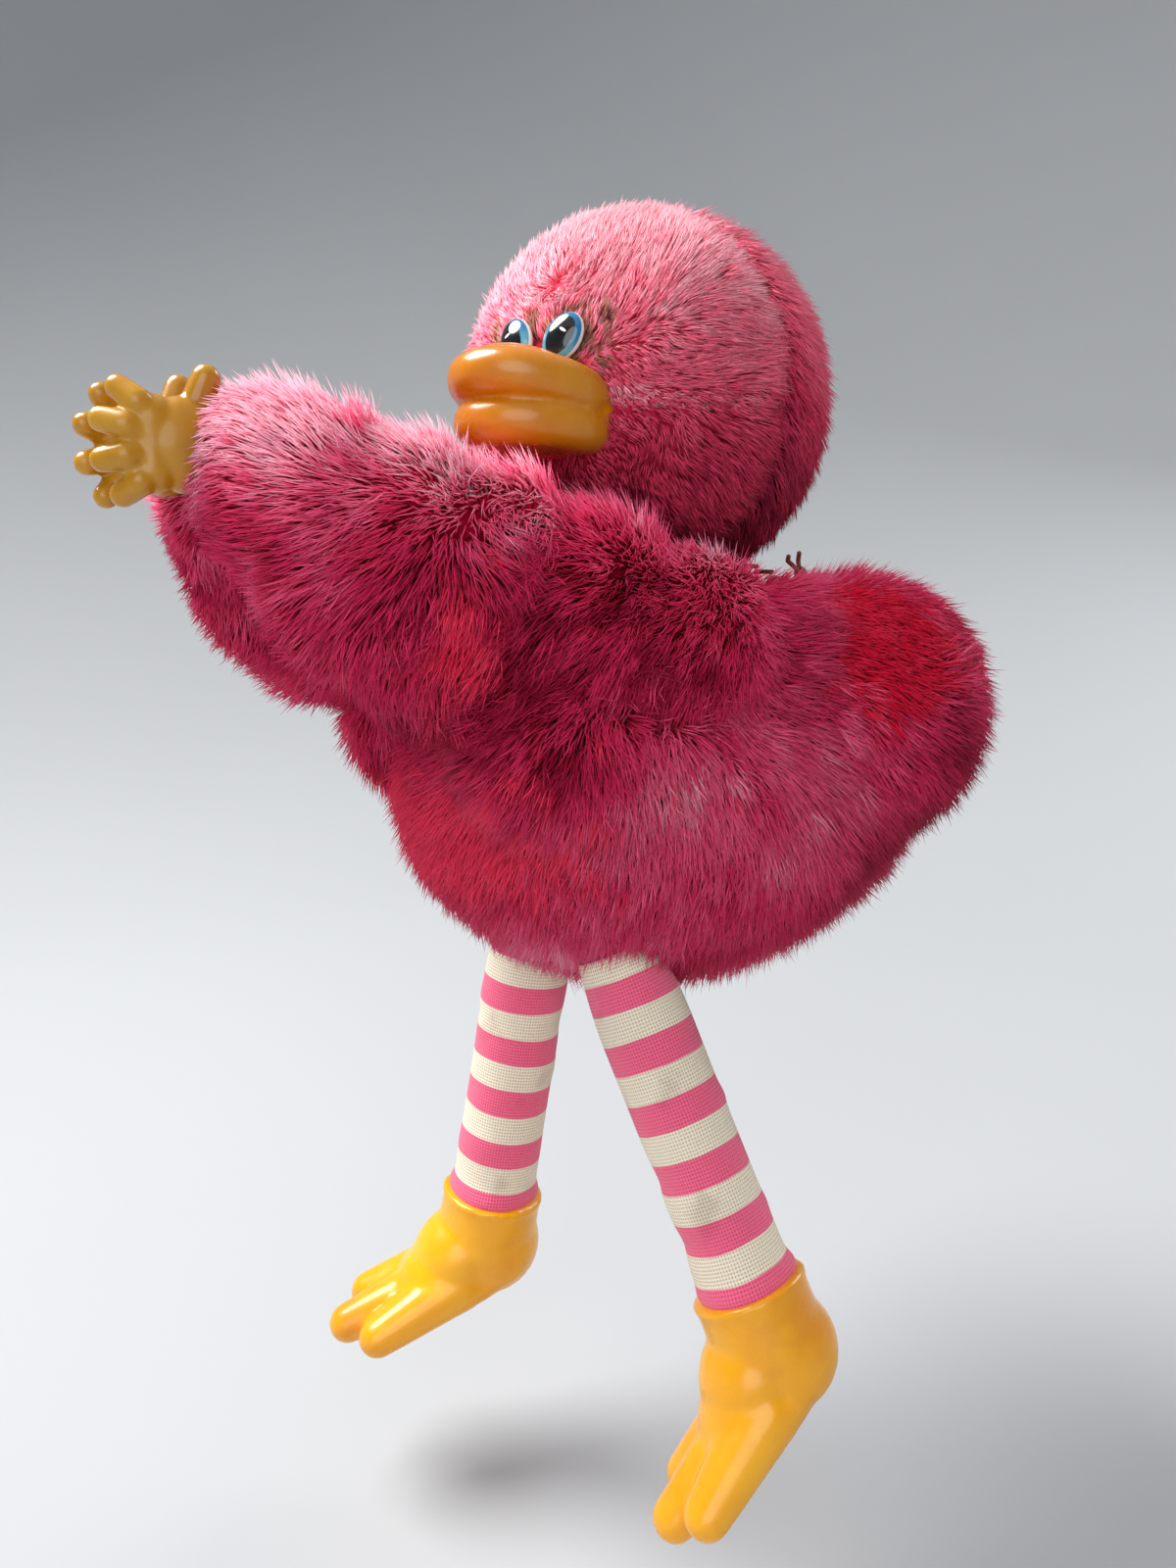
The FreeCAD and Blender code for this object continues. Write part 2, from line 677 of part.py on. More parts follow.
def seam_frame(side):
    """Frame at the hip that lies along the torso's surface, for the sewn tab."""
    splay = LEG_POSE[LEFT][0] * side
    return PLACEMENT(hip_point(side), ROTATION(AXIS_Y, splay))


def leg_form(name, side, inset):
    """Stuffed tube, flattened at the top where it is sewn, round below."""
    frame = leg_frame(side)
    radius = size("leg_radius") - inset
    top_up = -size("tab_drop") - inset
    flare_up = top_up - size("leg_flare")
    bottom_up = -size("leg_length") - size("leg_in_boot") + inset
    flat = doc.addObject("Part::Ellipse", f"{name}_flat")
    flat.MajorRadius = size("tab_width") / 2 + LEG_TOP_EXTRA - inset
    flat.MinorRadius = LEG_TOP_HALF - inset
    flat.Placement = frame * PLACEMENT(VECTOR(0, 0, top_up), ROTATION())
    round_end = doc.addObject("Part::Circle", f"{name}_round")
    round_end.Radius = radius
    round_end.Placement = frame * PLACEMENT(VECTOR(0, 0, flare_up), ROTATION())
    flare = doc.addObject("Part::Loft", f"{name}_flare")
    flare.Sections = [flat, round_end]
    flare.Solid = True
    flare.Ruled = False
    tube = doc.addObject("Part::Cylinder", f"{name}_tube")
    tube.Radius = radius
    tube.Height = flare_up - bottom_up
    tube.Placement = frame * PLACEMENT(VECTOR(0, 0, bottom_up), ROTATION())
    return fuse(name, [flare, tube])


def build_tab(side):
    """Gathered end of the leg's cloth, sewn into the torso's seam: the hip's hinge."""
    name = f"hip_tab_{SIDE_NAMES[side]}"
    half = size("tab_width") / 2
    roll_frame = seam_frame(side) * PLACEMENT(VECTOR(-half, 0, 0), ROTATION(AXIS_Y, 90))
    roll = cylinder(f"{name}_roll", "Sizes.tab_radius", "Sizes.tab_width", roll_frame)
    tongue_half = size("tongue_width") / 2
    drop = size("tab_drop") - size("tab_gap")
    tongue_frame = leg_frame(side)
    tongue = box(f"{name}_tongue", VECTOR(-tongue_half, -size("tab_radius"), -drop),
                 (2 * tongue_half, 2 * size("tab_radius"), drop), tongue_frame)
    return fuse(name, [roll, tongue])


def build_boot(side):
    """Hollow vinyl boot: cuff, heel, instep and three toes on a flat sole."""
    name = f"boot_{SIDE_NAMES[side]}"
    frame = leg_frame(side)
    rim = frame * PLACEMENT(VECTOR(0, 0, -size("leg_length")), ROTATION())
    foot = rim * PLACEMENT(VECTOR(), ROTATION(AXIS_X, size("boot_flex")))
    down = PLACEMENT(VECTOR(), ROTATION(AXIS_X, 180))
    shaft = cylinder(f"{name}_shaft", "Sizes.leg_radius + Sizes.boot_wall",
                     "Sizes.leg_in_boot + Sizes.vinyl_wall", rim * down)
    lip = cylinder(f"{name}_lip", "Sizes.leg_radius + Sizes.boot_wall + Sizes.boot_lip",
                   "Sizes.boot_lip_height", rim * down)
    sole = -size("boot_height")
    heel_radius = size("boot_width") / 2
    toe_radius = size("toe_width") / 2
    heel = VECTOR(0, size("boot_heel_back") - heel_radius, sole + heel_radius - SOLE_TRIM)
    pieces = [shaft, lip, ball(f"{name}_heel", "Sizes.boot_width", foot * PLACEMENT(heel, ROTATION()))]
    instep = VECTOR(0, heel.y - INSTEP_FRONT, sole + INSTEP_UP)
    pieces.append(ball(f"{name}_instep", f"Sizes.boot_width * {INSTEP_SHARE}",
                       foot * PLACEMENT(instep, ROTATION())))
    for number, fan in enumerate((-1, 0, 1)):
        short = abs(fan) * size("toe_short")
        tip = VECTOR(fan * size("toe_width") * TOE_SPREAD,
                     toe_radius + short - size("boot_toe_front"), sole + toe_radius - SOLE_TRIM)
        root = VECTOR(fan * size("toe_width") * TOE_ROOT_SPREAD, instep.y + TOE_ROOT_BACK,
                      sole + TOE_ROOT_UP)
        run = tip - root
        place = foot * PLACEMENT(root, ROTATION(AXIS_Z, run))
        toe = doc.addObject("Part::Cone", f"{name}_toe_{number}")
        toe.Radius1 = toe_radius * TOE_ROOT_SHARE
        toe.Radius2 = toe_radius
        toe.Height = run.Length
        toe.Placement = place
        pieces.append(toe)
        pieces.append(ball(f"{name}_toe_end_{number}", "Sizes.toe_width",
                           foot * PLACEMENT(tip, ROTATION())))
    solid = fuse(f"{name}_solid", pieces)
    far = 4 * size("boot_height")
    ground = box(f"{name}_ground", VECTOR(-far, -far, sole - far), (2 * far, 2 * far, far), foot)
    flat = cut(f"{name}_flat", solid, ground)
    bore = cylinder(f"{name}_bore", "Sizes.leg_radius", "Sizes.leg_in_boot", rim * down)
    return cut(name, flat, bore)


def build_leg(side):
    """Striped cotton tube with its stuffing, sewn tab and boot."""
    tail = SIDE_NAMES[side]
    outer = leg_form(f"leg_outer_{tail}", side, 0)
    inner = leg_form(f"leg_inner_{tail}", side, size("cotton_thickness"))
    filling = copy(inner, f"leg_filling_{tail}")
    node(cut(f"leg_sleeve_{tail}", outer, inner), f"leg_sleeve_{tail}")
    node(filling, f"leg_stuffing_{tail}")
    node(build_tab(side), f"hip_tab_{tail}")
    node(build_boot(side), f"boot_{tail}")


def build_clip():
    """Both levers with their hands and sleeves, the pin and the spring."""
    for side in (LEFT, RIGHT):
        tail = SIDE_NAMES[side]
        lever = node(build_lever(side), f"clip_lever_{tail}")
        node(build_hand(side, lever), f"hand_{tail}")
        node(build_sleeve(side, lever), f"wing_sleeve_{tail}")
    node(build_pin(), "clip_pivot_pin")
    pivot = size("pivot_back")
    leg_path = [(2.9, pivot + 5.5), (9.3, pivot + 15)]
    node(build_spring(leg_path), "clip_spring")


build_head()
build_torso()
build_threads()
build_clip()
for leg_side in (LEFT, RIGHT):
    build_leg(leg_side)
doc.recompute()

problems = [item.Name for item in doc.Objects if "Invalid" in item.State or "Error" in item.State]
problems += [item.Label for item in nodes if item.Shape.isNull() or not item.Shape.isValid()]
if problems:
    raise RuntimeError(f"failed features: {problems}")

os.makedirs("parts", exist_ok=True)
for item in nodes:
    item.Shape.exportStep(f"parts/{item.Label}.step")
    bounds = item.Shape.BoundBox
    print(f"{item.Label}: {len(item.Shape.Solids)} solid, {item.Shape.Volume:.0f} mm3, "
          f"z {bounds.ZMin:.1f} to {bounds.ZMax:.1f}")
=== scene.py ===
import math

import bpy
import numpy as np
from mathutils import Matrix, Vector, kdtree


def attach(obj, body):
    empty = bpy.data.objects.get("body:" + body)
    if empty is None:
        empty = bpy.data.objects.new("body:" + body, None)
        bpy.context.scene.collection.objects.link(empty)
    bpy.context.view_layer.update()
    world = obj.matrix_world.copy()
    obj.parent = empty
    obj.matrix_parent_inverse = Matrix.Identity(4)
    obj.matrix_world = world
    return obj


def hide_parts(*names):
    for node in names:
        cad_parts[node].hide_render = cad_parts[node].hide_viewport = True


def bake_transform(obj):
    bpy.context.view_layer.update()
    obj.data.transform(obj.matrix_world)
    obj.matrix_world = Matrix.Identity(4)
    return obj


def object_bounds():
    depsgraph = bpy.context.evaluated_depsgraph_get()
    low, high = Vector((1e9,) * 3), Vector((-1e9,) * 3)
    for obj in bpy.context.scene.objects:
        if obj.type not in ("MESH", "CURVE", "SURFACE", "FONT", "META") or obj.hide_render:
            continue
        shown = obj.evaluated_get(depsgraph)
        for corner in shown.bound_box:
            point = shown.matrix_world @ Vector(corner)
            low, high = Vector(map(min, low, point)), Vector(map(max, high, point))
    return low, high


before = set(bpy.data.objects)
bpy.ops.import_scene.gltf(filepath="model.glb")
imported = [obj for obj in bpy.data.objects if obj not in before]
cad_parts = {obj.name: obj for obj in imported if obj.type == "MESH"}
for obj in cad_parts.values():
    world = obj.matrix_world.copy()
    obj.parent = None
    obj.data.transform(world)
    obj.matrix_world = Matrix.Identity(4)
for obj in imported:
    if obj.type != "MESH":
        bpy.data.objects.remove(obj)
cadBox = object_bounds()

print("frame loaded")
milli = 0.001
left, right = 1, -1
sideNames = {left: "left", right: "right"}

# ---- camera, floor and light
studio = {
    "cameraPlace": (0.1391, -0.0369, -0.0091),
    "cameraTurn": 56.0,
    "cameraDip": 12.1,
    "lens": 27.05,
    "floorDrop": 0.020,
    "floorRadius": 1.15,
    "wallHeight": 1.3,
    "wallRound": 0.8,
    "floorTone": (0.40, 0.413, 0.43),
    "worldTone": (0.90, 0.91, 0.93),
    "worldLight": 0.62,
    "lookAt": (0, 0.06, -0.03),
    "lamps": {  # place, size, power, tone
        "keyLight": ((-0.30, -0.22, 0.55), 0.45, 9.7, (1.0, 0.985, 0.96)),
        "fillLight": ((0.55, -0.40, 0.22), 0.7, 3.0, (0.95, 0.97, 1.0)),
        "rimLight": ((-0.10, 0.65, 0.35), 0.4, 2.2, (1.0, 1.0, 1.0)),
    },
}
cameraData = bpy.data.cameras.new("camera")
camera = bpy.data.objects.new("camera", cameraData)
bpy.context.scene.collection.objects.link(camera)
camera.location = studio["cameraPlace"]
camera.rotation_euler = (
    math.radians(90 - studio["cameraDip"]), 0, math.radians(studio["cameraTurn"]))
cameraData.lens = studio["lens"]
cameraData.sensor_width = 36
cameraData.clip_start = 0.005
bpy.context.scene.camera = camera
bpy.context.scene.view_settings.view_transform = "Standard"


def deselectAll():
    if bpy.context.mode != "OBJECT":
        bpy.ops.object.mode_set(mode="OBJECT")
    bpy.ops.object.select_all(action="DESELECT")


def takeUp(*pieces):
    # selects only these, the first one active
    deselectAll()
    for piece in pieces:
        piece.select_set(True)
    bpy.context.view_layer.objects.active = pieces[0]


def applied(piece, kind, **settings):
    modifier = piece.modifiers.new(kind.lower(), kind)
    for name, value in settings.items():
        setattr(modifier, name, value)
    takeUp(piece)
    bpy.ops.object.modifier_apply(modifier=modifier.name)
    return piece


def joined(name, pieces):
    takeUp(*pieces)
    if len(pieces) > 1:
        bpy.ops.object.join()
    piece = bpy.context.view_layer.objects.active
    piece.name = name
    piece.data.name = name
    return piece


def settled(piece):
    # its place goes into its mesh, so that the object sits at the origin
    takeUp(piece)
    bpy.ops.object.transform_apply(location=True, rotation=True, scale=True)
    return piece


def smoothShaded(piece, degrees=None):
    takeUp(piece)
    if degrees is None:
        bpy.ops.object.shade_smooth()
    else:
        bpy.ops.object.shade_smooth_by_angle(angle=math.radians(degrees))
    return piece


def pickFaces(piece, low, high):
    # leaves edit mode open with only the faces whose normals rise between low and high
    takeUp(piece)
    bpy.ops.object.mode_set(mode="EDIT")
    bpy.ops.mesh.select_mode(type="FACE")
    bpy.ops.mesh.select_all(action="DESELECT")
    bpy.ops.object.mode_set(mode="OBJECT")
    for face in piece.data.polygons:
        face.select = low < face.normal.z < high
    bpy.ops.object.mode_set(mode="EDIT")


def coloured(piece, finish):
    piece.data.materials.clear()
    piece.data.materials.append(finish)
    return piece


def pointsOf(mesh, what="co"):
    values = np.empty(len(mesh.vertices) * 3)
    mesh.vertices.foreach_get(what, values)
    return values.reshape(-1, 3)


def cornersOf(mesh):
    # the number of the point at each face corner
    corners = np.empty(len(mesh.loops), int)
    mesh.loops.foreach_get("vertex_index", corners)
    return corners


def mapped(mesh, places):
    # one UV map, with a place for each face corner
    while mesh.uv_layers:
        mesh.uv_layers.remove(mesh.uv_layers[0])
    layer = mesh.uv_layers.new(name="OFBake", do_init=False)
    layer.uv.foreach_set("vector", places.astype(np.float32).ravel())


def inOrder(piece):
    # a new ball lists its faces in a different order in each run, so they are sorted
    points, faces = pointsOf(piece.data), []
    for face in piece.data.polygons:
        ring = list(face.vertices)
        first = ring.index(min(ring))
        faces.append(ring[first:] + ring[:first])
    made = bpy.data.meshes.new(piece.name)
    made.from_pydata(points.tolist(), [], sorted(faces))
    old = piece.data
    piece.data = made
    bpy.data.meshes.remove(old)
    return piece


def addLump(centre, radii, turn=(0, 0, 0), within=None, rings=20):
    # a stretched ball, in millimetres, in the frame of a part of the object
    bpy.ops.mesh.primitive_uv_sphere_add(segments=2 * rings, ring_count=rings, radius=1)
    lump = bpy.context.object
    spin = Matrix.Rotation(math.radians(turn[2]), 4, "Z") @ Matrix.Rotation(
        math.radians(turn[1]), 4, "Y") @ Matrix.Rotation(math.radians(turn[0]), 4, "X")
    place = Matrix.Translation(Vector(centre) * milli) @ spin
    place = place @ Matrix.Diagonal((*[r * milli for r in radii], 1))
    lump.matrix_world = (within or Matrix()) @ place
    return settled(lump)


def addLight(name, place, aim, size, power, tone):
    data = bpy.data.lights.new(name, "AREA")
    data.shape = "DISK"
    data.size = size
    data.energy = power
    data.color = tone
    light = bpy.data.objects.new(name, data)
    bpy.context.scene.collection.objects.link(light)
    light.location = place
    light.rotation_mode = "QUATERNION"
    light.rotation_quaternion = (Vector(aim) - Vector(place)).to_track_quat("-Z", "Y")


# ---- shader helpers
def newFinish(name, **sockets):
    finish = bpy.data.materials.new(name)
    finish.use_nodes = True
    shader = finish.node_tree.nodes["Principled BSDF"]
    for socket, value in sockets.items():
        shader.inputs[socket.replace("_", " ")].default_value = value
    return finish, finish.node_tree, shader


def addNode(tree, kind, **settings):
    made = tree.nodes.new(kind)
    for name, value in settings.items():
        if name in made.inputs:
            made.inputs[name].default_value = value
        else:
            setattr(made, name, value)
    return made


def addRamp(tree, source, stops, smooth=True):
    ramp = tree.nodes.new("ShaderNodeValToRGB")
    ramp.color_ramp.interpolation = "EASE" if smooth else "LINEAR"
    while len(ramp.color_ramp.elements) < len(stops):
        ramp.color_ramp.elements.new(0.5)
    for element, (place, tone) in zip(ramp.color_ramp.elements, stops):
        element.position = place
        element.color = (*tone, 1)
    tree.links.new(source, ramp.inputs[0])
    return ramp.outputs[0]


def addMix(tree, share, first, second, kind="MIX"):
    mix = tree.nodes.new("ShaderNodeMix")
    mix.data_type = "RGBA"
    mix.blend_type = kind
    sockets = (mix.inputs[0], mix.inputs[6], mix.inputs[7])  # factor and the two colours
    for socket, value in zip(sockets, (share, first, second)):
        if isinstance(value, bpy.types.NodeSocket):
            tree.links.new(value, socket)
        elif isinstance(value, tuple):
            socket.default_value = (*value, 1)
        else:
            socket.default_value = value
    return mix.outputs[2]


def addMath(tree, kind, first, second=0.0):
    made = tree.nodes.new("ShaderNodeMath")
    made.operation = kind
    for socket, value in zip(made.inputs, (first, second)):
        if isinstance(value, bpy.types.NodeSocket):
            tree.links.new(value, socket)
        else:
            socket.default_value = value
    return made.outputs[0]


def addNoise(tree, scale, detail=3.0, stretch=(1, 1, 1)):
    coords = tree.nodes.new("ShaderNodeTexCoord")
    mapping = addNode(tree, "ShaderNodeMapping", Scale=stretch)
    noise = addNode(tree, "ShaderNodeTexNoise", Scale=scale, Detail=detail, Roughness=0.55)
    tree.links.new(coords.outputs["Object"], mapping.inputs["Vector"])
    tree.links.new(mapping.outputs[0], noise.inputs["Vector"])
    return noise.outputs[0]


def addBump(tree, shader, height, strength, distance):
    bump = addNode(tree, "ShaderNodeBump", Strength=strength, Distance=distance)
    tree.links.new(height, bump.inputs["Height"])
    tree.links.new(bump.outputs[0], shader.inputs["Normal"])


# ---- floor that sweeps up behind, world and lamps
floorUp = cadBox[0].z - studio["floorDrop"]
bpy.ops.mesh.primitive_cylinder_add(
    vertices=128, radius=studio["floorRadius"], depth=studio["wallHeight"],
    location=(0, 0, floorUp + studio["wallHeight"] / 2))
floor = settled(bpy.context.object)
floor.name = "floor"
pickFaces(floor, 0.9, 1.1)
bpy.ops.mesh.delete(type="FACE")
bpy.ops.object.mode_set(mode="OBJECT")
pickFaces(floor, -1.1, -0.9)
bpy.ops.mesh.bevel(offset=studio["wallRound"], segments=32, affect="EDGES")
bpy.ops.mesh.select_all(action="SELECT")
bpy.ops.mesh.flip_normals()
bpy.ops.object.mode_set(mode="OBJECT")
smoothShaded(floor)
floorFinish, floorTree, floorShader = newFinish("floorPaint", Roughness=0.7)
floorTree.links.new(
    addRamp(floorTree, addNoise(floorTree, 3.0), [
        (0.3, tuple(0.97 * c for c in studio["floorTone"])), (0.7, studio["floorTone"])]),
    floorShader.inputs["Base Color"])
coloured(floor, floorFinish)
world = bpy.data.worlds.new("studio")
bpy.context.scene.world = world
world.use_nodes = True
world.node_tree.nodes["Background"].inputs[0].default_value = (*studio["worldTone"], 1)
world.node_tree.nodes["Background"].inputs[1].default_value = studio["worldLight"]
for name, lamp in studio["lamps"].items():
    addLight(name, lamp[0], studio["lookAt"], *lamp[1:])
print("studio set")

# ---- frames of the object's own parts
headPlan = {"middle": (0, 66, 8), "turn": 21.5, "radius": 25.0}
headFrame = Matrix.Translation(Vector(headPlan["middle"]) * milli) @ Matrix.Rotation(
    math.radians(headPlan["turn"]), 4, "Z")
legPlan = {
    "hip": (12.9, 55.2, -71.3),
    "pose": {left: (-25.7, 8.9, -26.5), right: (3.0, -9.0, -18.0)},  # splay, swing, twist
    "length": 43.9,
    "radius": 7.25,
    "bootFlex": 22.0,
}


def legFrame(side):
    splay, swing, twist = [math.radians(a) for a in legPlan["pose"][side]]
    hip = Vector((side * legPlan["hip"][0], *legPlan["hip"][1:])) * milli
    return (Matrix.Translation(hip) @ Matrix.Rotation(splay, 4, "Y")
            @ Matrix.Rotation(swing, 4, "X") @ Matrix.Rotation(twist, 4, "Z"))


# ---- fur
def waves(points, size, seed):
    # a smooth vector field made of a few crossing waves, about -1 to 1
    rng = np.random.default_rng(seed)
    field = np.zeros((len(points), 3))
    waveCount = 7
    for _ in range(waveCount):
        heading = rng.normal(size=3)
        heading *= 2 * math.pi / (size * rng.uniform(0.6, 1.6) * np.linalg.norm(heading))
        field += np.sin(points @ heading + rng.uniform(0, 6.3))[:, None] * rng.normal(size=3)
    return field / 3.0


def unit(vectors):
    return vectors / np.maximum(np.linalg.norm(vectors, axis=1, keepdims=True), 1e-12)


def rising(values, start, run):
    # 0 up to the start, and an even rise to 1 over the run
    return np.clip((values - start) / run, 0, 1)


def patchAt(points, place, reach):
    # a soft patch seen from the side: its middle and its reach, backwards and upwards
    back, up = (points[:, 1] - place[0]) / reach[0], (points[:, 2] - place[1]) / reach[1]
    return np.exp(-(back ** 2 + up ** 2))


furPlan = {
    "rootShare": 0.30,  # root, belly and tip of a strand in the UV map's height
    "bellyShare": 0.47,
    "tipShare": 0.70,
    "toneStart": 0.02,  # where the tones lie along the UV map's width
    "toneRun": 0.76,
    # the skin's shorter run keeps it to the darker tones, painted shade under the pile
    "skinRun": 0.60,
    "stained": 0.90,
    "lengths": (0.72, 1.12),
    "thicknesses": (0.75, 1.25),
    "kneePull": 0.55,
}


def furFinish(name, roots, tips, stain):
    finish, tree, shader = newFinish(
        name, Roughness=0.85, Sheen_Weight=0.04, Sheen_Roughness=0.5,
        Sheen_Tint=(1.0, 0.55, 0.68, 1), Specular_IOR_Level=0.12)
    uv = addNode(tree, "ShaderNodeUVMap", uv_map="OFBake")
    parts = tree.nodes.new("ShaderNodeSeparateXYZ")
    tree.links.new(uv.outputs[0], parts.inputs[0])
    stops = [0.02, 0.28, 0.55, 0.8, 0.88, 0.98]  # four tones of fur, then two of stain
    rootTone = addRamp(tree, parts.outputs[0], list(zip(stops, list(roots) + list(stain[:2]))))
    tipTone = addRamp(tree, parts.outputs[0], list(zip(stops, list(tips) + list(stain[2:]))))
    # each strand is darker at the root than at the tip: painted shade deep in the pile
    along = addRamp(tree, parts.outputs[1], [(0.34, (0, 0, 0)), (0.62, (1, 1, 1))])
    tree.links.new(addMix(tree, along, rootTone, tipTone), shader.inputs["Base Color"])
    tree.links.new(
        addRamp(tree, parts.outputs[1], [(0.3, (0.9, 0.9, 0.9)), (0.7, (0.62, 0.62, 0.62))]),
        shader.inputs["Roughness"])
    return finish


def strandMesh(skin, coat):
    # roots spread over the skin, bundled in locks, each strand a bent three-sided spindle
    mesh = skin.data
    mesh.calc_loop_triangles()
    corners = pointsOf(mesh)
    normals = pointsOf(mesh, "normal")
    tris = np.empty(len(mesh.loop_triangles) * 3, int)
    mesh.loop_triangles.foreach_get("vertices", tris)
    tris = tris.reshape(-1, 3)
    a, b, c = (corners[tris[:, k]] for k in range(3))
    area = np.linalg.norm(np.cross(b - a, c - a), axis=1) / 2
    middle = (a + b + c) / 3
    weight = area * coat["where"](middle / milli, unit(normals[tris].mean(1)))
    rng = np.random.default_rng(coat["seed"])
    count = coat["strands"]
    pick = rng.choice(len(tris), size=count, p=weight / weight.sum())
    u, v = rng.random((2, count))
    u, v = np.where(u + v > 1, 1 - u, u), np.where(u + v > 1, 1 - v, v)
    shares = np.stack([1 - u - v, u, v], 1)
    root = (corners[tris[pick]] * shares[..., None]).sum(1)
    up = unit((normals[tris[pick]] * shares[..., None]).sum(1))
    place = root / milli
    lockCount = max(8, count // coat["perLock"])
    locks = rng.choice(count, size=lockCount, replace=False)
    tree = kdtree.KDTree(lockCount)
    for number, index in enumerate(locks):
        tree.insert(root[index], number)
    tree.balance()
    near = np.array([tree.find(p)[1] for p in root])
    lead = locks[near]

    def comb(points, ups):
        heading = coat["comb"](points, ups)
        swirl, size, seed = coat["swirl"], coat["swirlSize"], coat["seed"]
        heading = heading + swirl * waves(points, size, seed + 1)
        heading = heading + 0.5 * swirl * waves(points, size / 3, seed + 2)
        flat = heading - (heading * ups).sum(1, keepdims=True) * ups
        return unit(flat)

    heading = comb(place, up)
    length = coat["length"](place, up) * milli
    length = length * rng.uniform(*furPlan["lengths"], count)
    lift = coat["lift"](place, up)[:, None]
    spread = rng.normal(scale=coat["stray"], size=(count, 3))
    first = unit(up * (0.55 + 0.45 * lift) + heading * (0.75 - 0.35 * lift) + spread * 0.6)
    second = unit(up * lift + heading * (1.05 - 0.55 * lift) + spread)
    knee = root + first * length[:, None] * 0.5
    tip = knee + second * length[:, None] * 0.5
    lockTone = rng.normal(scale=1.0, size=lockCount)[near]
    pull = coat["bundle"] * rng.uniform(0.6, 1.0, count)[:, None]
    lockTip = root[lead] + unit(
        up[lead] * lift[lead] + heading[lead] * (1.05 - 0.5 * lift[lead])) * length[:, None] * 0.95
    tip = tip * (1 - pull) + lockTip * pull
    lockKnee = root[lead] + unit(up[lead] + heading[lead] * 0.6) * length[:, None] * 0.5
    kneePull = furPlan["kneePull"] * pull
    knee = knee * (1 - kneePull) + lockKnee * kneePull
    tone = coat["tone"](place, up)
    uneven = coat["toneLock"] * lockTone + rng.normal(scale=0.05, size=count)
    # a tone of about 2 stands for a stain, and keeps to the stained end of the ramp
    tone = np.where(tone > 1.5,
                    furPlan["stained"] + np.clip(tone - 2 + 0.12 * uneven, -0.015, 0.08),
                    furPlan["toneStart"] + furPlan["toneRun"] * np.clip(tone + uneven, 0, 1))
    thick = coat["thickness"] * milli * rng.uniform(*furPlan["thicknesses"], count)
    way = unit(tip - root)
    one = unit(np.cross(way, rng.normal(size=(count, 3))))
    two = np.cross(way, one)
    belly = root * 0.12 + knee * 0.88
    ring = [belly + (one * math.cos(angle) + two * math.sin(angle)) * (thick / 2)[:, None]
            for angle in (0, 2 * math.pi / 3, 4 * math.pi / 3)]
    strands = np.stack([root - up * coat["sunk"] * milli] + ring + [tip], 1)
    shape = np.array([(0, 2, 1), (0, 3, 2), (0, 1, 3), (1, 2, 4), (2, 3, 4), (3, 1, 4)]).ravel()
    alongOf = np.array([furPlan["rootShare"]] + [furPlan["bellyShare"]] * 3 + [furPlan["tipShare"]])
    asideOf = np.array([0.0, -0.004, 0.004, 0.0, 0.0])  # gives each strand's map some width
    loops = (np.arange(count)[:, None] * len(alongOf) + shape).ravel()
    alongs = np.tile(alongOf[shape], count)
    tones = np.repeat(tone, len(shape)) + np.tile(asideOf[shape], count)
    sizes = np.full(count * len(shape) // 3, 3)
    return strands.reshape(-1, 3), loops, sizes, np.stack([tones, alongs], 1)


def furCoated(skin, coat, finish):
    points, loops, sizes, uvs = strandMesh(skin, coat)
    mesh = skin.data
    base = pointsOf(mesh)
    skinLoops = cornersOf(mesh)
    skinSizes = np.empty(len(mesh.polygons), int)
    mesh.polygons.foreach_get("loop_total", skinSizes)
    # the skin under the strands takes the root colour and darker tones: painted shade deep in the
    # pile
    skinTone = coat["tone"](base / milli, unit(pointsOf(mesh, "normal")))
    skinTone = np.where(skinTone > 1.5, furPlan["stained"],
                        furPlan["toneStart"] + furPlan["skinRun"] * np.clip(skinTone, 0, 1))
    skinShare = furPlan["rootShare"] - 0.01 + 0.01 * (skinLoops % 7) / 7
    skinUvs = np.stack([skinTone[skinLoops], skinShare], 1)
    allPoints = np.concatenate([base, points])
    allLoops = np.concatenate([skinLoops, loops + len(base)])
    allSizes = np.concatenate([skinSizes, sizes])
    made = bpy.data.meshes.new(skin.name)
    made.vertices.add(len(allPoints))
    made.vertices.foreach_set("co", allPoints.astype(np.float32).ravel())
    made.loops.add(len(allLoops))
    made.loops.foreach_set("vertex_index", allLoops.astype(np.int32))
    made.polygons.add(len(allSizes))
    starts = np.concatenate([[0], np.cumsum(allSizes)[:-1]])
    made.polygons.foreach_set("loop_start", starts.astype(np.int32))
    made.polygons.foreach_set("loop_total", allSizes.astype(np.int32))
    made.update(calc_edges=True)
    mapped(made, np.concatenate([skinUvs, uvs]))
    old = skin.data
    skin.data = made
    bpy.data.meshes.remove(old)
    coloured(skin, finish)
    return smoothShaded(skin)


def panelOf(name, form, cuts):
    # a closed piece of a form: what lies behind each plane, seen from the side it faces
    panel = form.copy()
    panel.data = form.data.copy()
    bpy.context.scene.collection.objects.link(panel)
    panel.name = name
    takeUp(panel)
    for place, outward in cuts:
        bpy.ops.object.mode_set(mode="EDIT")
        bpy.ops.mesh.select_all(action="SELECT")
        bpy.ops.mesh.bisect(plane_co=Vector(place) * milli, plane_no=outward, use_fill=True,
                            clear_outer=True, clear_inner=False)
        bpy.ops.object.mode_set(mode="OBJECT")
    return panel


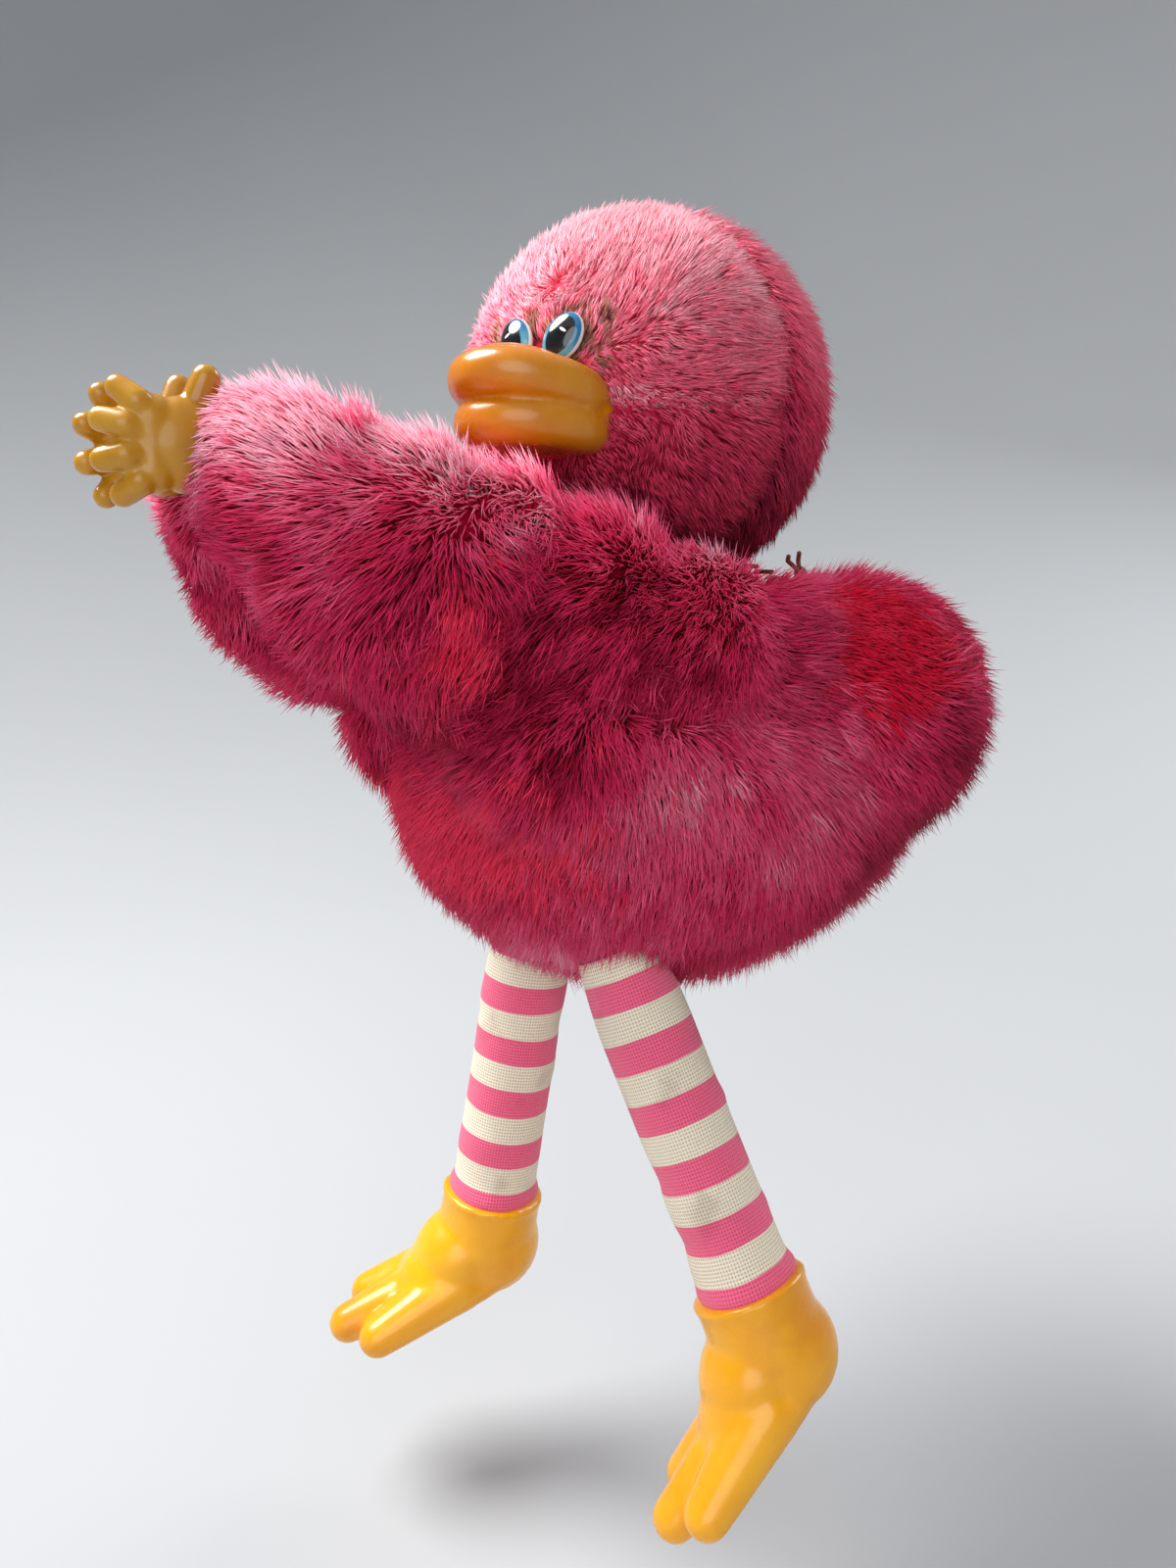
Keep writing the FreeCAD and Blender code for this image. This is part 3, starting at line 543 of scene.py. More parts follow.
def puffed(piece, pressure, cap, frames):
    # cloth blown up by pressure and held to a small travel, then written to the mesh
    rest = pointsOf(piece.data)
    takeUp(piece)
    cloth = piece.modifiers.new("cloth", "CLOTH")
    cloth.settings.use_pressure = True
    cloth.settings.uniform_pressure_force = pressure
    cloth.settings.effector_weights.gravity = 0
    cloth.point_cache.frame_end = frames
    for number in range(1, frames + 1):
        bpy.context.scene.frame_set(number)
    blown = piece.evaluated_get(bpy.context.evaluated_depsgraph_get()).data
    moved = pointsOf(blown) - rest
    far = np.linalg.norm(moved, axis=1, keepdims=True)
    moved *= np.minimum(1, cap * milli / np.maximum(far, 1e-9))
    piece.modifiers.remove(cloth)
    bpy.context.scene.frame_set(1)
    piece.data.vertices.foreach_set("co", (rest + moved).ravel())
    piece.data.update()
    return piece


# ---- the head: crown, chin and back panels over one round form
headCoat = {
    "form": (23.2, 23.4, 23.4),
    "pile": 4.4,
    "strands": {"crown": 36000, "chin": 18500, "back": 34500},
    "thickness": 0.20,
    "seamUp": -1.2,
    "seamBack": -4.5,
    "neckCut": -22.0,
    "neckBare": 2.5,
    "thinShare": 0.02,
    "mouth": {"up": -1.5, "radius": 6.5, "front": -10, "shorter": 0.45},
    "seamShort": 0.75,
    "fall": {"crown": (-0.12, 0.010), "chin": -0.42, "back": (0.25, -0.95)},
    "lift": (0.36, 0.14),
    # the rise of tone with height is painted light on the crown and painted shade under the chin
    "tones": {"crown": (0.60, 0.026), "chin": (0.49, 0.022)},  # at the middle, and its rise per mm
    # painted shade in the groove behind the upright seam
    "grooveShade": (0.8, 2.2, 0.14),  # behind the seam, width and depth of tone
    "wisp": {"place": (-20.5, -0.4), "flatness": 1.4, "radius": 1.6, "outside": 8},
    "eyeStain": {"middle": (4.6, 5.4), "narrow": 0.85, "radius": 4.9, "below": 8.8, "front": -12},
}
headFinish = furFinish(
    "headFur",
    roots=[(0.16, 0.002, 0.015), (0.50, 0.015, 0.06), (0.90, 0.07, 0.15), (1.0, 0.24, 0.34)],
    tips=[(0.28, 0.008, 0.04), (0.80, 0.055, 0.14), (1.0, 0.19, 0.30), (1.0, 0.48, 0.55)],
    stain=[(0.30, 0.10, 0.07), (0.10, 0.035, 0.025), (0.48, 0.20, 0.14), (0.20, 0.08, 0.05)])


def inHead(points):
    back = np.array(headFrame.inverted())
    return points @ back[:3, :3].T + back[:3, 3] / milli


def outOfHead(vectors):
    return vectors @ np.array(headFrame)[:3, :3].T


def headWhere(points, ups):
    # hardly a strand under the bill and round the neck
    local, mouth = inHead(points), headCoat["mouth"]
    bare = np.hypot(local[:, 0], local[:, 2] - mouth["up"]) < mouth["radius"]
    bare = bare & (local[:, 1] < mouth["front"])
    low = local[:, 2] < headCoat["neckCut"] + headCoat["neckBare"]
    return np.where(bare | low, headCoat["thinShare"], 1.0)


def headComb(points, ups):
    # back over the crown, and down over the chin and the back panel
    local, fall = inHead(points), headCoat["fall"]
    heading = np.zeros_like(local)
    heading[:, 1] = 1.0
    heading[:, 2] = fall["crown"][0] + fall["crown"][1] * local[:, 2]
    behind = local[:, 1] > headCoat["seamBack"]
    heading[behind, 1], heading[behind, 2] = fall["back"]
    under = local[:, 2] < headCoat["seamUp"]
    heading[under & ~behind, 2] = fall["chin"]
    return outOfHead(heading)


def headLength(points, ups):
    # shorter along the seams and round the mouth
    local = inHead(points)
    length = np.full(len(local), headCoat["pile"])
    fromSeam = np.abs(local[:, 1] - headCoat["seamBack"])
    behind = local[:, 1] > headCoat["seamBack"]
    short = headCoat["seamShort"]
    length *= short + (1 - short) * rising(fromSeam, 0, 3.5) + 0.10 * behind
    length *= 1 - headCoat["mouth"]["shorter"] * rising(-local[:, 1], 13, 8)
    fromSeam = np.abs(local[:, 2] - headCoat["seamUp"])
    length *= np.where(behind, 1, 0.72 + 0.28 * rising(fromSeam, 0, 2))
    return length


def headLift(points, ups):
    local = inHead(points)
    low, more = headCoat["lift"]
    return low + more * rising(local[:, 1], headCoat["seamBack"] - 2, 4)


def headTone(points, ups):
    local, tones = inHead(points), headCoat["tones"]
    # painted light and shade: the tone rises with height, brightest on the crown and darkest under
    # the chin
    above = rising(local[:, 2], headCoat["seamUp"] - 1.5, 3.0)
    crown = tones["crown"][0] + tones["crown"][1] * local[:, 2]
    chin = tones["chin"][0] + tones["chin"][1] * local[:, 2]
    tone = above * crown + (1 - above) * chin
    tone += 0.07 * waves(local * (1, 0.3, 1.5), 6.0, 31)[:, 0] + 0.04 * waves(points, 9.0, 32)[:, 0]
    # darker behind the upright seam, and painted shade in its groove
    behind = local[:, 1] > headCoat["seamBack"]
    rear = rising(local[:, 1], headCoat["seamBack"] - 2, 4)
    tone = tone * (1 - 0.2 * rear) - 0.04 * rear
    place, width, depth = headCoat["grooveShade"]
    tone = tone - depth * np.exp(-((local[:, 1] - headCoat["seamBack"] - place) / width) ** 2)
    # pale backing shows in the mouth's seam, and in a wisp beside the bill
    seam = (np.abs(local[:, 2] - headCoat["seamUp"]) < 0.4) & ~behind & (local[:, 1] < -9)
    wisp = headCoat["wisp"]
    fromWisp = np.hypot(local[:, 1] - wisp["place"][0],
                        wisp["flatness"] * (local[:, 2] - wisp["place"][1]))
    pale = (fromWisp < wisp["radius"]) & (np.abs(local[:, 0]) > wisp["outside"])
    tone = np.where(seam | pale, 0.92, tone)
    # brown stain round the eyes
    stain = headCoat["eyeStain"]
    fromEye = np.hypot((np.abs(local[:, 0]) - stain["middle"][0]) / stain["narrow"],
                       local[:, 2] - stain["middle"][1])
    stained = (local[:, 1] < stain["front"]) & (local[:, 2] < stain["below"])
    stained = stained & (fromEye < stain["radius"]) & (waves(points, 3.0, 9)[:, 1] > -0.35)
    return np.where(stained, 2.0 + 0.05 * waves(points, 2.0, 5)[:, 0], tone)


headForm = inOrder(addLump((0, 0, 0), headCoat["form"], within=headFrame, rings=28))
seamUpPlace = headFrame @ Vector((0, 0, headCoat["seamUp"] * milli)) / milli
seamBackPlace = headFrame @ Vector((0, headCoat["seamBack"] * milli, 0)) / milli
neckPlace = headFrame @ Vector((0, 0, headCoat["neckCut"] * milli)) / milli
headUp, headRear = Vector((0, 0, 1)), headFrame.to_3x3() @ Vector((0, 1, 0))
headCuts = {
    "crown": [(seamUpPlace, -headUp), (seamBackPlace, headRear)],
    "chin": [(seamUpPlace, headUp), (seamBackPlace, headRear), (neckPlace, -headUp)],
    "back": [(seamBackPlace, -headRear), (neckPlace, -headUp)],
}
for number, (part, cuts) in enumerate(headCuts.items()):
    panel = panelOf(f"head_{part}_fur", headForm, cuts)
    coat = {
        "strands": headCoat["strands"][part], "thickness": headCoat["thickness"],
        "perLock": 26, "bundle": 0.40, "stray": 0.20, "sunk": 0.5,
        "swirl": 0.36, "swirlSize": 12.0,
        "toneLock": 0.05, "seed": 40 + number, "where": headWhere, "comb": headComb,
        "length": headLength, "lift": headLift, "tone": headTone,
    }
    furCoated(panel, coat, headFinish)
    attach(panel, "head")
    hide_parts(f"head_{part}_panel", *(["head_stuffing"] if part == "back" else []))
bpy.data.objects.remove(headForm)
print("head covered")

# ---- the body: barrel, rump cheeks and shoulders under two halves of long fur
bodyCoat = {
    "inset": 3.6,
    "barrel": ((0, 72, -44), (31, 44, 31)),
    "rump": ((19, 91.5, -34), (19, 18.6, 20)),
    "shoulder": ((19, 72, -24), (10.5, 22, 10.5)),
    "flank": ((17, 48, -35), (12.5, 22, 16)),
    "pile": 7.0,
    "strands": 65000,
    "thickness": 0.235,
    "parting": {"out": 27.0, "back": (42, 62), "up": -30.0, "slope": 0.25},
    "neck": {"back": 66, "radius": 21, "below": -30, "pile": 3.0},
    # patches: the middle and the reach, backwards and upwards
    "pressed": ((85, -24.5), (9, 9)),
    # painted shade in the fold at the front of the body
    "shadePatch": ((38, -24), (13, 12)),
    # painted highlight on the middle of the flank
    "light": ((62, -39), (17, 12)),
    "ember": ((29, -47), (16, 9)),
}
bodyFinish = furFinish(
    "bodyFur",
    roots=[(0.16, 0.0005, 0.010), (0.42, 0.002, 0.034), (0.68, 0.006, 0.06), (0.88, 0.07, 0.17)],
    tips=[(0.34, 0.002, 0.028), (0.78, 0.028, 0.12), (0.94, 0.12, 0.26), (1.0, 0.47, 0.58)],
    stain=[(0.52, 0.0005, 0.022), (0.92, 0.02, 0.065), (0.80, 0.003, 0.04), (1.0, 0.06, 0.15)])


def bodyComb(points, ups):
    # the pile runs out and down from a parting on each flank
    parting = bodyCoat["parting"]
    back = np.clip(points[:, 1], *parting["back"])
    heart = np.stack([parting["out"] * np.sign(points[:, 0]), back,
                      parting["up"] - parting["slope"] * (back - parting["back"][0])], 1)
    heading = unit(points - heart) * 0.8
    heading[:, 2] -= 0.35 + 0.9 * np.abs(ups[:, 1])
    heading[:, 0] += 1.1 * np.sign(points[:, 0]) * rising(ups[:, 2], 0.45, 0.3)
    return heading


def pressedPatch(points):
    # the flattened patch on each side of the rump
    return patchAt(points, *bodyCoat["pressed"]) * rising(np.abs(points[:, 0]), 14, 6)


def bodyLength(points, ups):
    length = np.full(len(points), bodyCoat["pile"])
    length *= 1 - 0.45 * pressedPatch(points)
    length *= 1 + 0.25 * rising(points[:, 1], 74, 25) * rising(-points[:, 2], 38, 15)
    length *= 1 + 0.30 * rising(-points[:, 2], 62, 8)
    neck = bodyCoat["neck"]
    near = np.hypot(points[:, 0], points[:, 1] - neck["back"]) < neck["radius"]
    return np.where(near & (points[:, 2] > neck["below"]), neck["pile"], length)


def bodyLift(points, ups):
    return 0.47 - 0.35 * pressedPatch(points) + 0.12 * waves(points, 16.0, 70)[:, 0]


def bodyTone(points, ups):
    tone = 0.40 + 0.17 * waves(points, 24.0, 71)[:, 0] + 0.10 * waves(points, 8.0, 72)[:, 1]
    # painted shade in the fold at the front
    tone = tone - 0.34 * patchAt(points, *bodyCoat["shadePatch"])
    # painted highlight on the flank, and painted light along the top
    tone = tone + 0.34 * patchAt(points, *bodyCoat["light"]) + 0.10 * rising(points[:, 2], -22, 8)
    # painted shade underneath, low at the back
    tone = tone - 0.22 * rising(points[:, 1], 74, 16) * rising(-points[:, 2], 26, 10)
    fine = waves(points, 1.6, 75)[:, 0]
    edge = 0.12 * waves(points, 5.0, 74)[:, 0] + 0.16 * fine
    tone = np.where(pressedPatch(points) + edge > 0.46, 2.0, tone)
    hem = np.exp(-((points[:, 1] - 42) / 16) ** 2) * rising(-points[:, 2], 58, 9)
    tone = tone + 0.44 * hem
    edge = 0.25 * waves(points, 7.0, 73)[:, 0] + 0.30 * fine
    return np.where(patchAt(points, *bodyCoat["ember"]) + edge > 0.50, 2.055, tone)


def offTheSeam(points, ups):
    # no strands on the flat cut between the halves
    return np.where(np.abs(points[:, 0]) < 0.02, 0.0, 1.0)


def shrunk(lump, side=None):
    (x, y, z), radii = lump
    return addLump((x if side is None else side * x, y, z), [r - bodyCoat["inset"] for r in radii])


bodyForm = joined("bodyForm", [shrunk(bodyCoat["barrel"])] + [
    shrunk(bodyCoat[part], side)
    for part in ("rump", "shoulder", "flank") for side in (left, right)])
applied(bodyForm, "REMESH", mode="VOXEL", voxel_size=2.0 * milli)
applied(bodyForm, "SMOOTH", factor=0.6, iterations=14)
puffed(bodyForm, 3.0, 1.6, 14)
bodyCuts = {left: [((0, 0, 0), (-1, 0, 0))], right: [((0, 0, 0), (1, 0, 0))]}
for side, cuts in bodyCuts.items():
    tail = sideNames[side]
    half = panelOf(f"body_fur_{tail}", bodyForm, cuts)
    coat = {
        "strands": bodyCoat["strands"], "thickness": bodyCoat["thickness"],
        "perLock": 26, "bundle": 0.34, "stray": 0.28, "sunk": 0.6,
        "swirl": 0.42, "swirlSize": 26.0, "toneLock": 0.10, "seed": 60 + side,
        "where": offTheSeam, "comb": bodyComb, "length": bodyLength, "lift": bodyLift,
        "tone": bodyTone,
    }
    furCoated(half, coat, bodyFinish)
    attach(half, "torso")
    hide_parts(f"body_cover_{tail}", *(["body_stuffing"] if side == left else []))
bpy.data.objects.remove(bodyForm)
print("body covered")

# ---- wings: fur sleeves from the hands to the shoulders
wingPlan = {
    "lumps": [((6.6, 6.5, -3.0), (3.6, 4.5, 8.0)), ((9.8, 9.5, -5.0), (4.2, 6.5, 9.5)),
              ((13.2, 14.5, -10.0), (4.2, 8.0, 13.0)),
              ((16.6, 23.0, -15.0), (4.2, 9.5, 15.0)), ((18.4, 33.0, -18.0), (5.0, 11.0, 14.5)),
              ((19.6, 44.0, -20.0), (6.0, 12.0, 12.5)), ((20.6, 57.0, -23.5), (6.0, 13.0, 10.5)),
              ((14.5, 39.0, -15.5), (6.2, 9.0, 8.5)), ((10.5, 45.5, -20.0), (6.0, 8.0, 8.5))],
    "pile": 6.4,
    "strands": 35000,
    "thickness": 0.235,
    "bendFrom": (0, 0.060, 0),
    "bendTo": (0, 0.034, 0),
    "ridge": (-2, 0.17, 8),  # height at the wrist, its fall per mm, and where the wrist is
    "wristShort": 0.62,
    # painted shade in the elbow
    "shadePatch": ((36, -22), (9, 11)),
    "fold": ((26, -20), (6, 9)),
}


def wingComb(points, ups):
    # towards the hand, and down both faces from the ridge
    height, slope, wrist = wingPlan["ridge"]
    heading = np.zeros_like(points)
    heading[:, 1] = -0.55
    ridge = height - slope * (points[:, 1] - wrist)
    rise = np.clip((points[:, 2] - ridge + 7) / 9, -1, 1)
    heading[:, 2] = 0.45 * rise - 0.25
    heading[:, 0] = np.sign(points[:, 0]) * 0.1
    return heading


def wingLength(points, ups):
    short = wingPlan["wristShort"]
    return wingPlan["pile"] * (short + (1 - short) * rising(points[:, 1], 5, 8))


def wingLift(points, ups):
    return 0.46 + 0.12 * waves(points, 12.0, 80)[:, 0]


def wingTone(points, ups):
    # painted light along the top and the front, painted shade in the elbow, with a red fold before
    # it
    high = np.clip((points[:, 2] + 9 + 0.18 * (points[:, 1] - 10)) / 9, 0, 1)
    tone = 0.32 + 0.66 * high + 0.14 * rising(-points[:, 1], -20, 9)
    tone = tone + 0.12 * waves(points, 17.0, 81)[:, 0] + 0.09 * waves(points, 7.0, 82)[:, 1]
    # painted shade in the elbow
    tone = tone - 0.34 * patchAt(points, *wingPlan["shadePatch"])
    ragged = 0.25 * waves(points, 6.0, 83)[:, 0] + 0.30 * waves(points, 1.6, 84)[:, 0]
    return np.where(patchAt(points, *wingPlan["fold"]) + ragged > 0.70, 2.05, tone)


def everywhere(points, ups):
    return np.ones(len(points))


for side in (left, right):
    tail = sideNames[side]
    wing = joined(f"wing_fur_{tail}", [
        addLump((side * x, y, z), radii) for (x, y, z), radii in wingPlan["lumps"]])
    applied(wing, "REMESH", mode="VOXEL", voxel_size=1.6 * milli)
    applied(wing, "SMOOTH", factor=0.6, iterations=6)
    puffed(wing, 3.0, 1.2, 14)
    coat = {
        "strands": wingPlan["strands"], "thickness": wingPlan["thickness"],
        "perLock": 26, "bundle": 0.36, "stray": 0.27, "sunk": 0.6,
        "swirl": 0.35, "swirlSize": 22.0, "toneLock": 0.10, "seed": 90 + side,
        "where": everywhere, "comb": wingComb, "length": wingLength, "lift": wingLift,
        "tone": wingTone,
    }
    furCoated(wing, coat, bodyFinish)
    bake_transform(wing)
    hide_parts(f"wing_sleeve_{tail}")
print("wings covered")


# ---- vinyl: bill, hands and boots
def vinylFinish(name, tone, deep, edge):
    finish, tree, shader = newFinish(
        name, Roughness=0.32, Coat_Weight=0.25, Coat_Roughness=0.12, Specular_IOR_Level=0.42,
        Subsurface_Weight=0.12, Subsurface_Radius=(0.004, 0.0016, 0.0003))
    blotch = addNoise(tree, 70.0, 4.0)
    grain = addNoise(tree, 900.0, 2.0)
    base = addRamp(tree, blotch, [(0.3, deep), (0.5, tone), (0.72, edge)])
    tree.links.new(
        addMix(tree, addMath(tree, "MULTIPLY", grain, 0.16), base, deep),
        shader.inputs["Base Color"])
    tree.links.new(
        addRamp(tree, addNoise(tree, 220.0, 3.0), [(0.35, (0.24,) * 3), (0.7, (0.42,) * 3)]),
        shader.inputs["Roughness"])
    addBump(tree, shader, addNoise(tree, 420.0, 3.0), 0.22, 0.00012)
    return finish


vinylTones = {  # plain, deep and worn pale
    "boot": ((0.84, 0.37, 0.002), (0.72, 0.27, 0.001), (0.88, 0.43, 0.004)),
    "hand": ((0.46, 0.21, 0.003), (0.30, 0.12, 0.002), (0.56, 0.28, 0.008)),
    "bill": ((0.51, 0.172, 0.001), (0.40, 0.095, 0.0005), (0.59, 0.235, 0.003)),
}
bootFinish = vinylFinish("bootVinyl", *vinylTones["boot"])
handFinish = vinylFinish("handVinyl", *vinylTones["hand"])
billFinish = vinylFinish("billVinyl", *vinylTones["bill"])


def moulded(name, lumps, voxel, rounds, finish):
    # lumps fused into one skin and rounded where they meet
    piece = joined(name, lumps)
    applied(piece, "REMESH", mode="VOXEL", voxel_size=voxel * milli)
    applied(piece, "SMOOTH", factor=0.5, iterations=rounds)
    coloured(piece, finish)
    return smoothShaded(piece)


def addRod(start, end, startRadius, endRadius, within=None, sides=28):
    # a round-ended rod from a cone and two balls
    a, b = Vector(start) * milli, Vector(end) * milli
    bpy.ops.mesh.primitive_cone_add(vertices=sides, radius1=startRadius * milli,
                                    radius2=endRadius * milli, depth=(b - a).length)
    cone = bpy.context.object
    turn = (b - a).to_track_quat("Z", "Y").to_matrix().to_4x4()
    cone.matrix_world = (within or Matrix()) @ Matrix.Translation((a + b) / 2) @ turn
    settled(cone)
    return [cone, addLump(start, (startRadius,) * 3, within=within, rings=14),
            addLump(end, (endRadius,) * 3, within=within, rings=14)]


# ---- the bill: two full lips that wrap back to the mouth's corners
billPlan = {
    "upper": ((0, -25.6, -0.5), (9.7, 11.2), 5.8, (-12, 0, 0)),
    "lower": ((0, -25.1, -4.7), (9.4, 10.7), 5.8, (-4, 0, 0)),
    "rim": 2.75,
    "ridge": ((0, -25.4, 1.2), (6.8, 9.0, 2.9), (-14, 0, 0)),
    "corner": ((0, -21.2, -2.7), (9.3, 6.2, 4.8), (0, 0, 0)),
    "voxel": 0.30,
    "rounds": 7,
}


def addLip(centre, radii, thick, turn):
    # a flat disc with a full round rim, longer than wide
    bpy.ops.mesh.primitive_cylinder_add(vertices=72, radius=radii[0] * milli, depth=thick * milli)
    lip = bpy.context.object
    applied(lip, "BEVEL", width=billPlan["rim"] * milli, segments=8, limit_method="ANGLE")
    lip.matrix_world = (headFrame @ Matrix.Translation(Vector(centre) * milli)
                        @ Matrix.Rotation(math.radians(turn[0]), 4, "X")
                        @ Matrix.Diagonal((1, radii[1] / radii[0], 1, 1)))
    return settled(lip)


billLumps = [addLip(*billPlan[lip]) for lip in ("upper", "lower")]
billLumps += [addLump(*billPlan[part][:2], turn=billPlan[part][2], within=headFrame)
              for part in ("ridge", "corner")]
bill = moulded("bill_vinyl", billLumps, billPlan["voxel"], billPlan["rounds"], billFinish)
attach(bill, "head")
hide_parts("bill")

# ---- eyes: domed ovals with a white rim, blue iris, black pupil and a white slash
eyePlan = {
    "spread": 7.2,
    "up": 6.0,
    "lean": 30.0,
    "radii": (2.5, 1.3, 3.2),
    "sink": 0.2,
    # painted ovals: place, and half width and height as shares of the dome
    "iris": ((0.0, 0.0), (0.487, 0.488)),
    "pupil": ((0.02, -0.01), (0.34, 0.40)),
    "slash": ((0.04, 0.10), (0.11, 0.03)),
    "sky": [(0.30, (0.10, 0.34, 0.46)), (0.62, (0.012, 0.15, 0.32))],
    "rimTone": (0.82, 0.80, 0.76),
    "pupilTone": (0.004, 0.004, 0.006),
    "slashTone": (0.9, 0.9, 0.9),
}


def eyeFinish(side):
    finish, tree, shader = newFinish(
        f"eyeGloss{sideNames[side].title()}", Roughness=0.12, Coat_Weight=0.6, Coat_Roughness=0.05)
    uv = addNode(tree, "ShaderNodeUVMap", uv_map="OFBake")
    parts = tree.nodes.new("ShaderNodeSeparateXYZ")
    tree.links.new(uv.outputs[0], parts.inputs[0])
    across = addMath(tree, "SUBTRACT", parts.outputs[0], 0.5)
    upward = addMath(tree, "SUBTRACT", parts.outputs[1], 0.5)

    def outside(part, soft):
        # 0 in the oval and 1 out of it, with a soft edge
        (x, y), (wide, tall) = eyePlan[part]
        dx = addMath(tree, "DIVIDE", addMath(tree, "SUBTRACT", across, side * x), wide)
        dy = addMath(tree, "DIVIDE", addMath(tree, "SUBTRACT", upward, y), tall)
        far = addMath(tree, "SQRT", addMath(
            tree, "ADD", addMath(tree, "MULTIPLY", dx, dx), addMath(tree, "MULTIPLY", dy, dy)))
        black, white = (0, 0, 0), (1, 1, 1)
        return addRamp(tree, far, [(0.0, black), (1 - soft, black), (1.0, white)], False)

    sky = addRamp(tree, parts.outputs[1], eyePlan["sky"])
    tone = addMix(tree, outside("iris", 0.03), sky, eyePlan["rimTone"])
    tone = addMix(tree, outside("pupil", 0.05), eyePlan["pupilTone"], tone)
    tone = addMix(tree, outside("slash", 0.15), eyePlan["slashTone"], tone)
    tree.links.new(tone, shader.inputs["Base Color"])
    return finish


for side in (left, right):
    tail = sideNames[side]
    across, up = side * eyePlan["spread"] / 2, eyePlan["up"]
    depth = math.sqrt(headPlan["radius"] ** 2 - across ** 2 - up ** 2)
    outward = Vector((across, -depth, up)).normalized()
    middle = outward * (headPlan["radius"] - eyePlan["sink"]) * milli
    ahead = -outward
    tilt = Matrix.Rotation(math.radians(side * eyePlan["lean"]), 3, "Y")
    upright = tilt @ Vector((0, 0, 1))
    upright = (upright - ahead * upright.dot(ahead)).normalized()
    sideways = ahead.cross(upright)
    turn = Matrix((sideways, ahead, upright)).transposed().to_4x4()
    eyeFrame = headFrame @ Matrix.Translation(middle) @ turn
    bpy.ops.mesh.primitive_uv_sphere_add(segments=48, ring_count=32, radius=1,
                                         rotation=(math.radians(90), 0, 0))
    eye = inOrder(settled(bpy.context.object))
    eye.name = f"eye_dome_{tail}"
    flat = pointsOf(eye.data)
    eye.data.transform(eyeFrame @ Matrix.Diagonal((*[r * milli for r in eyePlan["radii"]], 1)))
    mapped(eye.data, flat[cornersOf(eye.data)][:, [0, 2]] / 2 + 0.5)
    coloured(eye, eyeFinish(side))
    smoothShaded(eye)
    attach(eye, "head")
    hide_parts(f"eye_{tail}")
print("face made")

# ---- hands: palm, four curled fingers and a thumb
handPlan = {
    "palmGap": 2.4,
    "palmThick": 7.0,
    "fan": (44, 17, -12, -40),
    "fingerRoot": 2.6,
    "fingerReach": 5.6,
    "fingerRadii": (1.75, 1.55),
    "wristBack": 6.0,
    "palm": (3.4, 5.2, 5.2),
    "wrist": (3.0, 4.0, 4.2),
    "edge": (-2.3, 2.7, 2.6),  # a rod under the fingers' roots: back, half height and radius
    "thumb": ((1.8, 2.6), (3.6, 7.0), (1.9, 1.6)),
    "voxel": 0.32,
    "rounds": 3,
}
for side in (left, right):
    tail = sideNames[side]
    across = handPlan["palmGap"] / 2 + handPlan["palmThick"] / 2
    outer = side * (across + 0.6)
    edgeBack, edgeUp, edgeRadius = handPlan["edge"]
    lumps = [addLump((side * across, 1.0, 0), handPlan["palm"]),
             *addRod((side * across, edgeBack, -edgeUp), (side * across, edgeBack, edgeUp),
                     edgeRadius, edgeRadius),
             addLump((outer, handPlan["wristBack"], -0.5), handPlan["wrist"])]
    for angle in handPlan["fan"]:
        slope = math.radians(angle)
        way = Vector((0, -math.cos(slope), math.sin(slope)))
        root = Vector((side * across, 0.6, 0)) + way * handPlan["fingerRoot"]
        knuckle = root + way * handPlan["fingerReach"] * 0.62 + Vector((side * 0.9, 0, 0))
        end = root + way * handPlan["fingerReach"] - Vector((side * 0.7, 0, 0))
        thick, thin = handPlan["fingerRadii"]
        lumps += addRod(root, knuckle, thick, thin)
        lumps += addRod(knuckle, end, thin, thin * 0.9)
    thumbRoot, thumbTip, thumbRadii = handPlan["thumb"]
    lumps += addRod((side * across, *thumbRoot), (outer, *thumbTip), *thumbRadii)
    hand = moulded(f"hand_vinyl_{tail}", lumps, handPlan["voxel"], handPlan["rounds"], handFinish)
    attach(hand, f"arm_{tail}")
    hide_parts(f"hand_{tail}")
print("hands made")

# ---- legs: striped cotton tubes, gathered at the hip and tucked into the boots
clothPlan = {
    "rings": 96,
    "around": 72,
    "radius": 6.8,
    "pitch": 8.6,
    "firstStripe": 0.58,
    "pinkShare": 0.5,
    "topRise": 5.0,
    "tuck": 4.0,
    "gatherRun": 13.0,
    "gather": 0.12,
    "flatten": 0.16,
    "creases": 9,
    "threads": {"X": 30.0, "Y": 34.0},
    "cream": ((0.86, 0.77, 0.60), (0.50, 0.40, 0.31)),  # clean and dirty
    "pink": ((0.90, 0.13, 0.25), (0.60, 0.08, 0.15)),
    "threadGap": (0.42, 0.27, 0.22),
}
clothFinish, clothTree, clothShader = newFinish(
    "stripedCotton", Roughness=0.88, Sheen_Weight=0.2, Sheen_Roughness=0.5, Specular_IOR_Level=0.2)
clothUv = addNode(clothTree, "ShaderNodeUVMap", uv_map="OFBake")
clothParts = clothTree.nodes.new("ShaderNodeSeparateXYZ")
clothTree.links.new(clothUv.outputs[0], clothParts.inputs[0])
clothLength = legPlan["length"] + clothPlan["topRise"] + clothPlan["tuck"]
stripeCount = clothLength / clothPlan["pitch"]
stripeWay = addMath(clothTree, "ADD",
                    addMath(clothTree, "MULTIPLY", clothParts.outputs[1], stripeCount),
                    addMath(clothTree, "MULTIPLY", addNoise(clothTree, 90.0, 2.0), 0.09))
stripeWay = addMath(clothTree, "ADD", stripeWay, clothPlan["firstStripe"])
stripeWay = addMath(clothTree, "FRACT", stripeWay)
